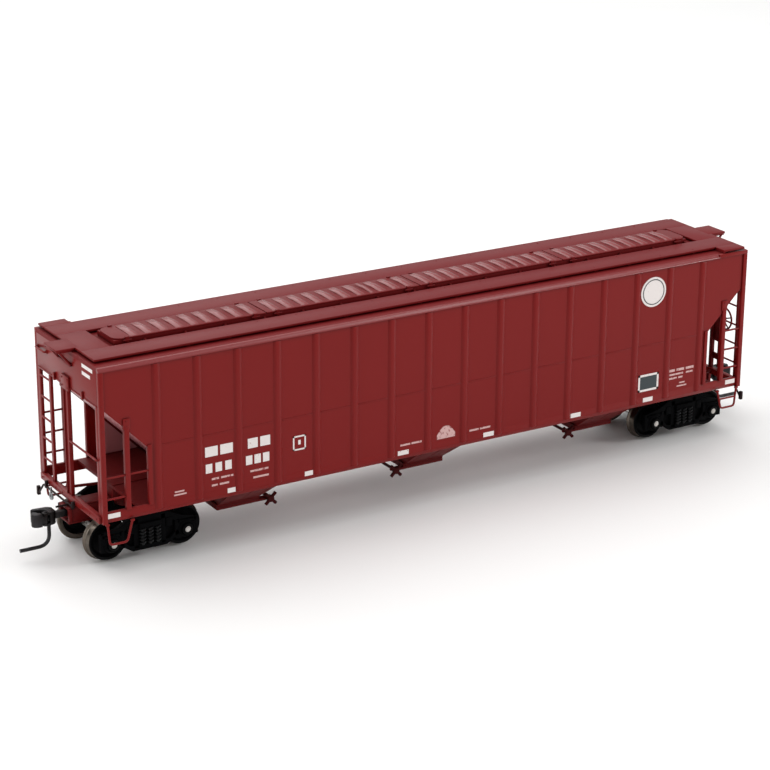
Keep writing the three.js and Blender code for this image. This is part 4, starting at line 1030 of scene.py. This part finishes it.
def end_labels():
    """Two blank label bars on the end panel, drawn at +X and +Y."""
    kit = Kit()
    for z, y0, y1 in ((51.9, 9.4, 15.4), (50.0, 9.4, 14.0)):
        kit.box((HALF_LENGTH - 0.05, HALF_LENGTH + 0.05), (y0, y1), (z, z + 0.9), bevel=0)
    return kit


# ---------------------------------------------------------------- assembly


def shift_x(x):
    return Matrix.Translation((x, 0, 0))


near = side_panel()
marks = (
    ("white_marks", white_marks(), WHITE),
    ("faint_marks", faint_marks(), FAINT),
    ("dark_marks", dark_plate(), PLATE),
)
for side, turn in (("near", Matrix.Identity(4)), ("far", HALF_TURN)):
    near.copy(turn).build(f"side_{side}", "car", [SIDE, SLOPE], "body_red", [f"side_panel_{side}"])
    for label, kit, material in marks:
        kit.copy(turn).build(f"{label}_{side}", "car", [material], "body_red")

for end, turn, sign in (("a", HALF_TURN, -1), ("b", Matrix.Identity(4), 1)):
    for make, node, label, material, slot in (
        (end_frame, "end_frame", "end", SIDE, "body_red"),
        (end_ladder, "end_ladder", "ladder", SIDE, "body_red"),
        (slope_sheet, "slope_sheet", "slope", SLOPE, "body_red"),
        (underframe, "underframe", "frame", UNDER, "under_red"),
        (box_lid, "coupler_box_lid", "box_lid", UNDER, "under_red"),
        (cut_lever, "cut_lever", "lever", LEVER, "lever_black"),
    ):
        make().copy(turn).build(f"{label}_{end}", "car", [material], slot, [f"{node}_{end}"])
    lever_eye().copy(turn).build(f"lever_eye_{end}", "car", [STEEL], "lever_black")
    end_labels().copy(turn).build(f"end_labels_{end}", "car", [WHITE], "body_red")
    for corner, tread, place in (("ladder", True, turn), ("corner", False, turn @ FLIP_Y)):
        step = stirrup(tread).copy(place)
        step.build(f"step_{corner}_{end}", "car", [SIDE], "body_red", [f"{corner}_step_{end}"])
    for make, label, body, node in (
        (coupler_head, "coupler_head", "coupler", "coupler"),
        (trip_pin, "pin", "coupler", "trip_pin"),
        (knuckle, "knuckle_nose", "knuckle", "knuckle"),
    ):
        black = make().copy(turn)
        black.build(f"{label}_{end}", f"{body}_{end}", [COUPLER], "coupler_black", [f"{node}_{end}"])
    centre = shift_x(sign * TRUCK_X)
    truck_frame().copy(centre).build(
        f"truck_{end}_frame", f"truck_{end}", [BLACK, SPRING], "truck_black", [f"truck_frame_{end}"]
    )
    truck_screw().copy(centre).build(f"screw_{end}", "car", [STEEL], "steel", [f"truck_screw_{end}"])
    for number, step in ((1, -1), (2, 1)):
        body, node = f"wheelset_{end}{number}", f"axle_{end}{number}"
        hub = Matrix.Translation((sign * (TRUCK_X + step * WHEELBASE / 2), 0, AXLE_Z))
        axle().copy(hub).build(f"{node}_turned", body, [AXLE, WEB], "axle_metal", [node])
        for hand, side in (("left", 1), ("right", -1)):
            spin = Matrix.Identity(4) if side * sign > 0 else HALF_TURN
            node = f"wheel_{end}{number}_{hand}"
            wheel().copy(hub @ spin).build(f"{node}_turned", body, [TREAD, WEB], "wheel_metal", [node])

roof_panel().build("roof", "car", [ROOF, HATCH, SIDE], "roof_red", ["roof_panel"])
running_board().build("walkway", "car", [TOP], "roof_red", ["running_board"])
outer_ribs = [COVER_RIB + COVER_RIB_PITCH * i for i in range(9)]
inner_ribs = outer_ribs[:7] + [34.5 + COVER_RIB_PITCH * i for i in range(3)]
outer_cover = hatch_cover(42.2, outer_ribs, [], True)
inner_cover = hatch_cover(COVER_JOINT, inner_ribs, [31.4], False)
for i, (cover, place) in enumerate((
    (outer_cover, shift_x(-COVER_JOINT) @ HALF_TURN),
    (inner_cover, shift_x(-COVER_JOINT)),
    (inner_cover, shift_x(0)),
    (outer_cover, shift_x(COVER_JOINT)),
)):
    cover.copy(place).build(f"hatch_{i + 1}", "car", [TOP, HATCH], "roof_red", [f"hatch_cover_{i + 1}"])
floor_plate().build("floor_sheet", "car", [UNDER], "under_red", ["floor_plate"])
weight = Kit().box((-60, 60), (-14, 14), (16.95, 18.9), bevel=0.3)
weight.build("weight", "car", [STEEL], "steel", ["ballast_weight"])
for i, (x, crank) in enumerate(((-BAY_X, 1), (0, -1), (BAY_X, -1))):
    hopper_bay().copy(shift_x(x)).build(f"bay_{i + 1}", "car", [UNDER], "body_red", [f"hopper_bay_{i + 1}"])
    spin = Matrix.Identity(4) if crank > 0 else HALF_TURN
    gate = outlet_gate().copy(shift_x(x) @ spin)
    gate.build(f"gate_{i + 1}", "car", [UNDER, DARK], "under_red", [f"outlet_gate_{i + 1}"])
# The brake gear on the end takes the darker under-car paint: painted shade.
brake_housing().build("brake_gear", "car", [UNDER], "body_red", ["brake_housing"])
brake_wheel().build("brake_hand_wheel", "car", [UNDER], "body_red", ["brake_wheel"])
brake_cylinder().build("cylinder", "car", [UNDER], "under_red", ["brake_cylinder"])
air_reservoir().build("reservoir", "car", [UNDER], "under_red", ["air_reservoir"])
control_valve().build("valve", "car", [UNDER], "under_red", ["control_valve"])

# ---------------------------------------------------------------- stage, light and camera


def stage_floor():
    size = 3.0
    corners = [(-size, -size, 0), (size, -size, 0), (size, size, 0), (-size, size, 0)]
    mesh = bpy.data.meshes.new("floor")
    mesh.from_pydata(corners, [], [(0, 1, 2, 3)])
    floor = bpy.data.objects.new("floor", mesh)
    bpy.context.scene.collection.objects.link(floor)
    p = Paint("pale_floor")
    tone = p.mix(p.noise(6, 2), (0.86, 0.86, 0.85, 1), (0.9, 0.9, 0.895, 1))
    p.set(Base_Color=tone, Roughness=0.5, Specular_IOR_Level=0.3)
    mesh.materials.append(p.material)


def area_light(name, at, look_at, size, power):
    """A rectangular lamp; places in metres, power in watts."""
    data = bpy.data.lights.new(name, "AREA")
    data.shape = "RECTANGLE"
    data.size, data.size_y = size
    data.energy = power
    light = bpy.data.objects.new(name, data)
    bpy.context.scene.collection.objects.link(light)
    light.location = at
    light.rotation_euler = (Vector(look_at) - Vector(at)).to_track_quat("-Z", "Y").to_euler()


def world_light(strength):
    world = bpy.data.worlds.new("studio")
    world.use_nodes = True
    world.node_tree.nodes["Background"].inputs["Color"].default_value = (1, 1, 1, 1)
    world.node_tree.nodes["Background"].inputs["Strength"].default_value = strength
    bpy.context.scene.world = world


def camera(azimuth, elevation, roll, distance, target, lens):
    """Looks at target, in metres, from an azimuth counted from -Y; angles in degrees, lens in mm."""
    a, e = math.radians(azimuth), math.radians(elevation)
    back = Vector((math.sin(a) * math.cos(e), -math.cos(a) * math.cos(e), math.sin(e)))
    data = bpy.data.cameras.new("camera")
    data.lens = lens
    data.sensor_width = SENSOR
    data.clip_start, data.clip_end = 0.05, 20
    cam = bpy.data.objects.new("camera", data)
    bpy.context.scene.collection.objects.link(cam)
    look = (-back).to_track_quat("-Z", "Y")
    cam.rotation_mode = "QUATERNION"
    cam.rotation_quaternion = Quaternion(-back, math.radians(-roll)) @ look
    cam.location = Vector(target) + back * distance
    bpy.context.scene.camera = cam


SENSOR = 36
FOCAL_PIXELS, IMAGE_PIXELS = 2407.09, 770  # of the camera fitted to the photograph
MIDDLE = (0, 0, 0.03)

stage_floor()
world_light(0.6)
area_light("overhead", (-0.1, 0.33, 0.9), MIDDLE, (1.3, 1.0), 7.0)
area_light("back", (-0.15, 0.95, 0.6), MIDDLE, (1.3, 0.35), 2.0)
area_light("eave", (0.44, -0.3, 0.72), (0, 0, 0.05), (0.2, 0.2), 0.5)
area_light("left_fill", (-0.9, 0.0, 0.35), (-0.05, 0, 0.03), (0.4, 0.4), 1.2)
area_light("right_fill", (0.75, -0.55, 0.45), MIDDLE, (0.25, 0.25), 3)
camera(
    azimuth=-31.507,
    elevation=19.705,
    roll=0.3227,
    distance=0.63565,
    target=(-0.007479, 0, 0.02781),
    lens=FOCAL_PIXELS / IMAGE_PIXELS * SENSOR,
)
bpy.context.scene.view_settings.view_transform = "Standard"
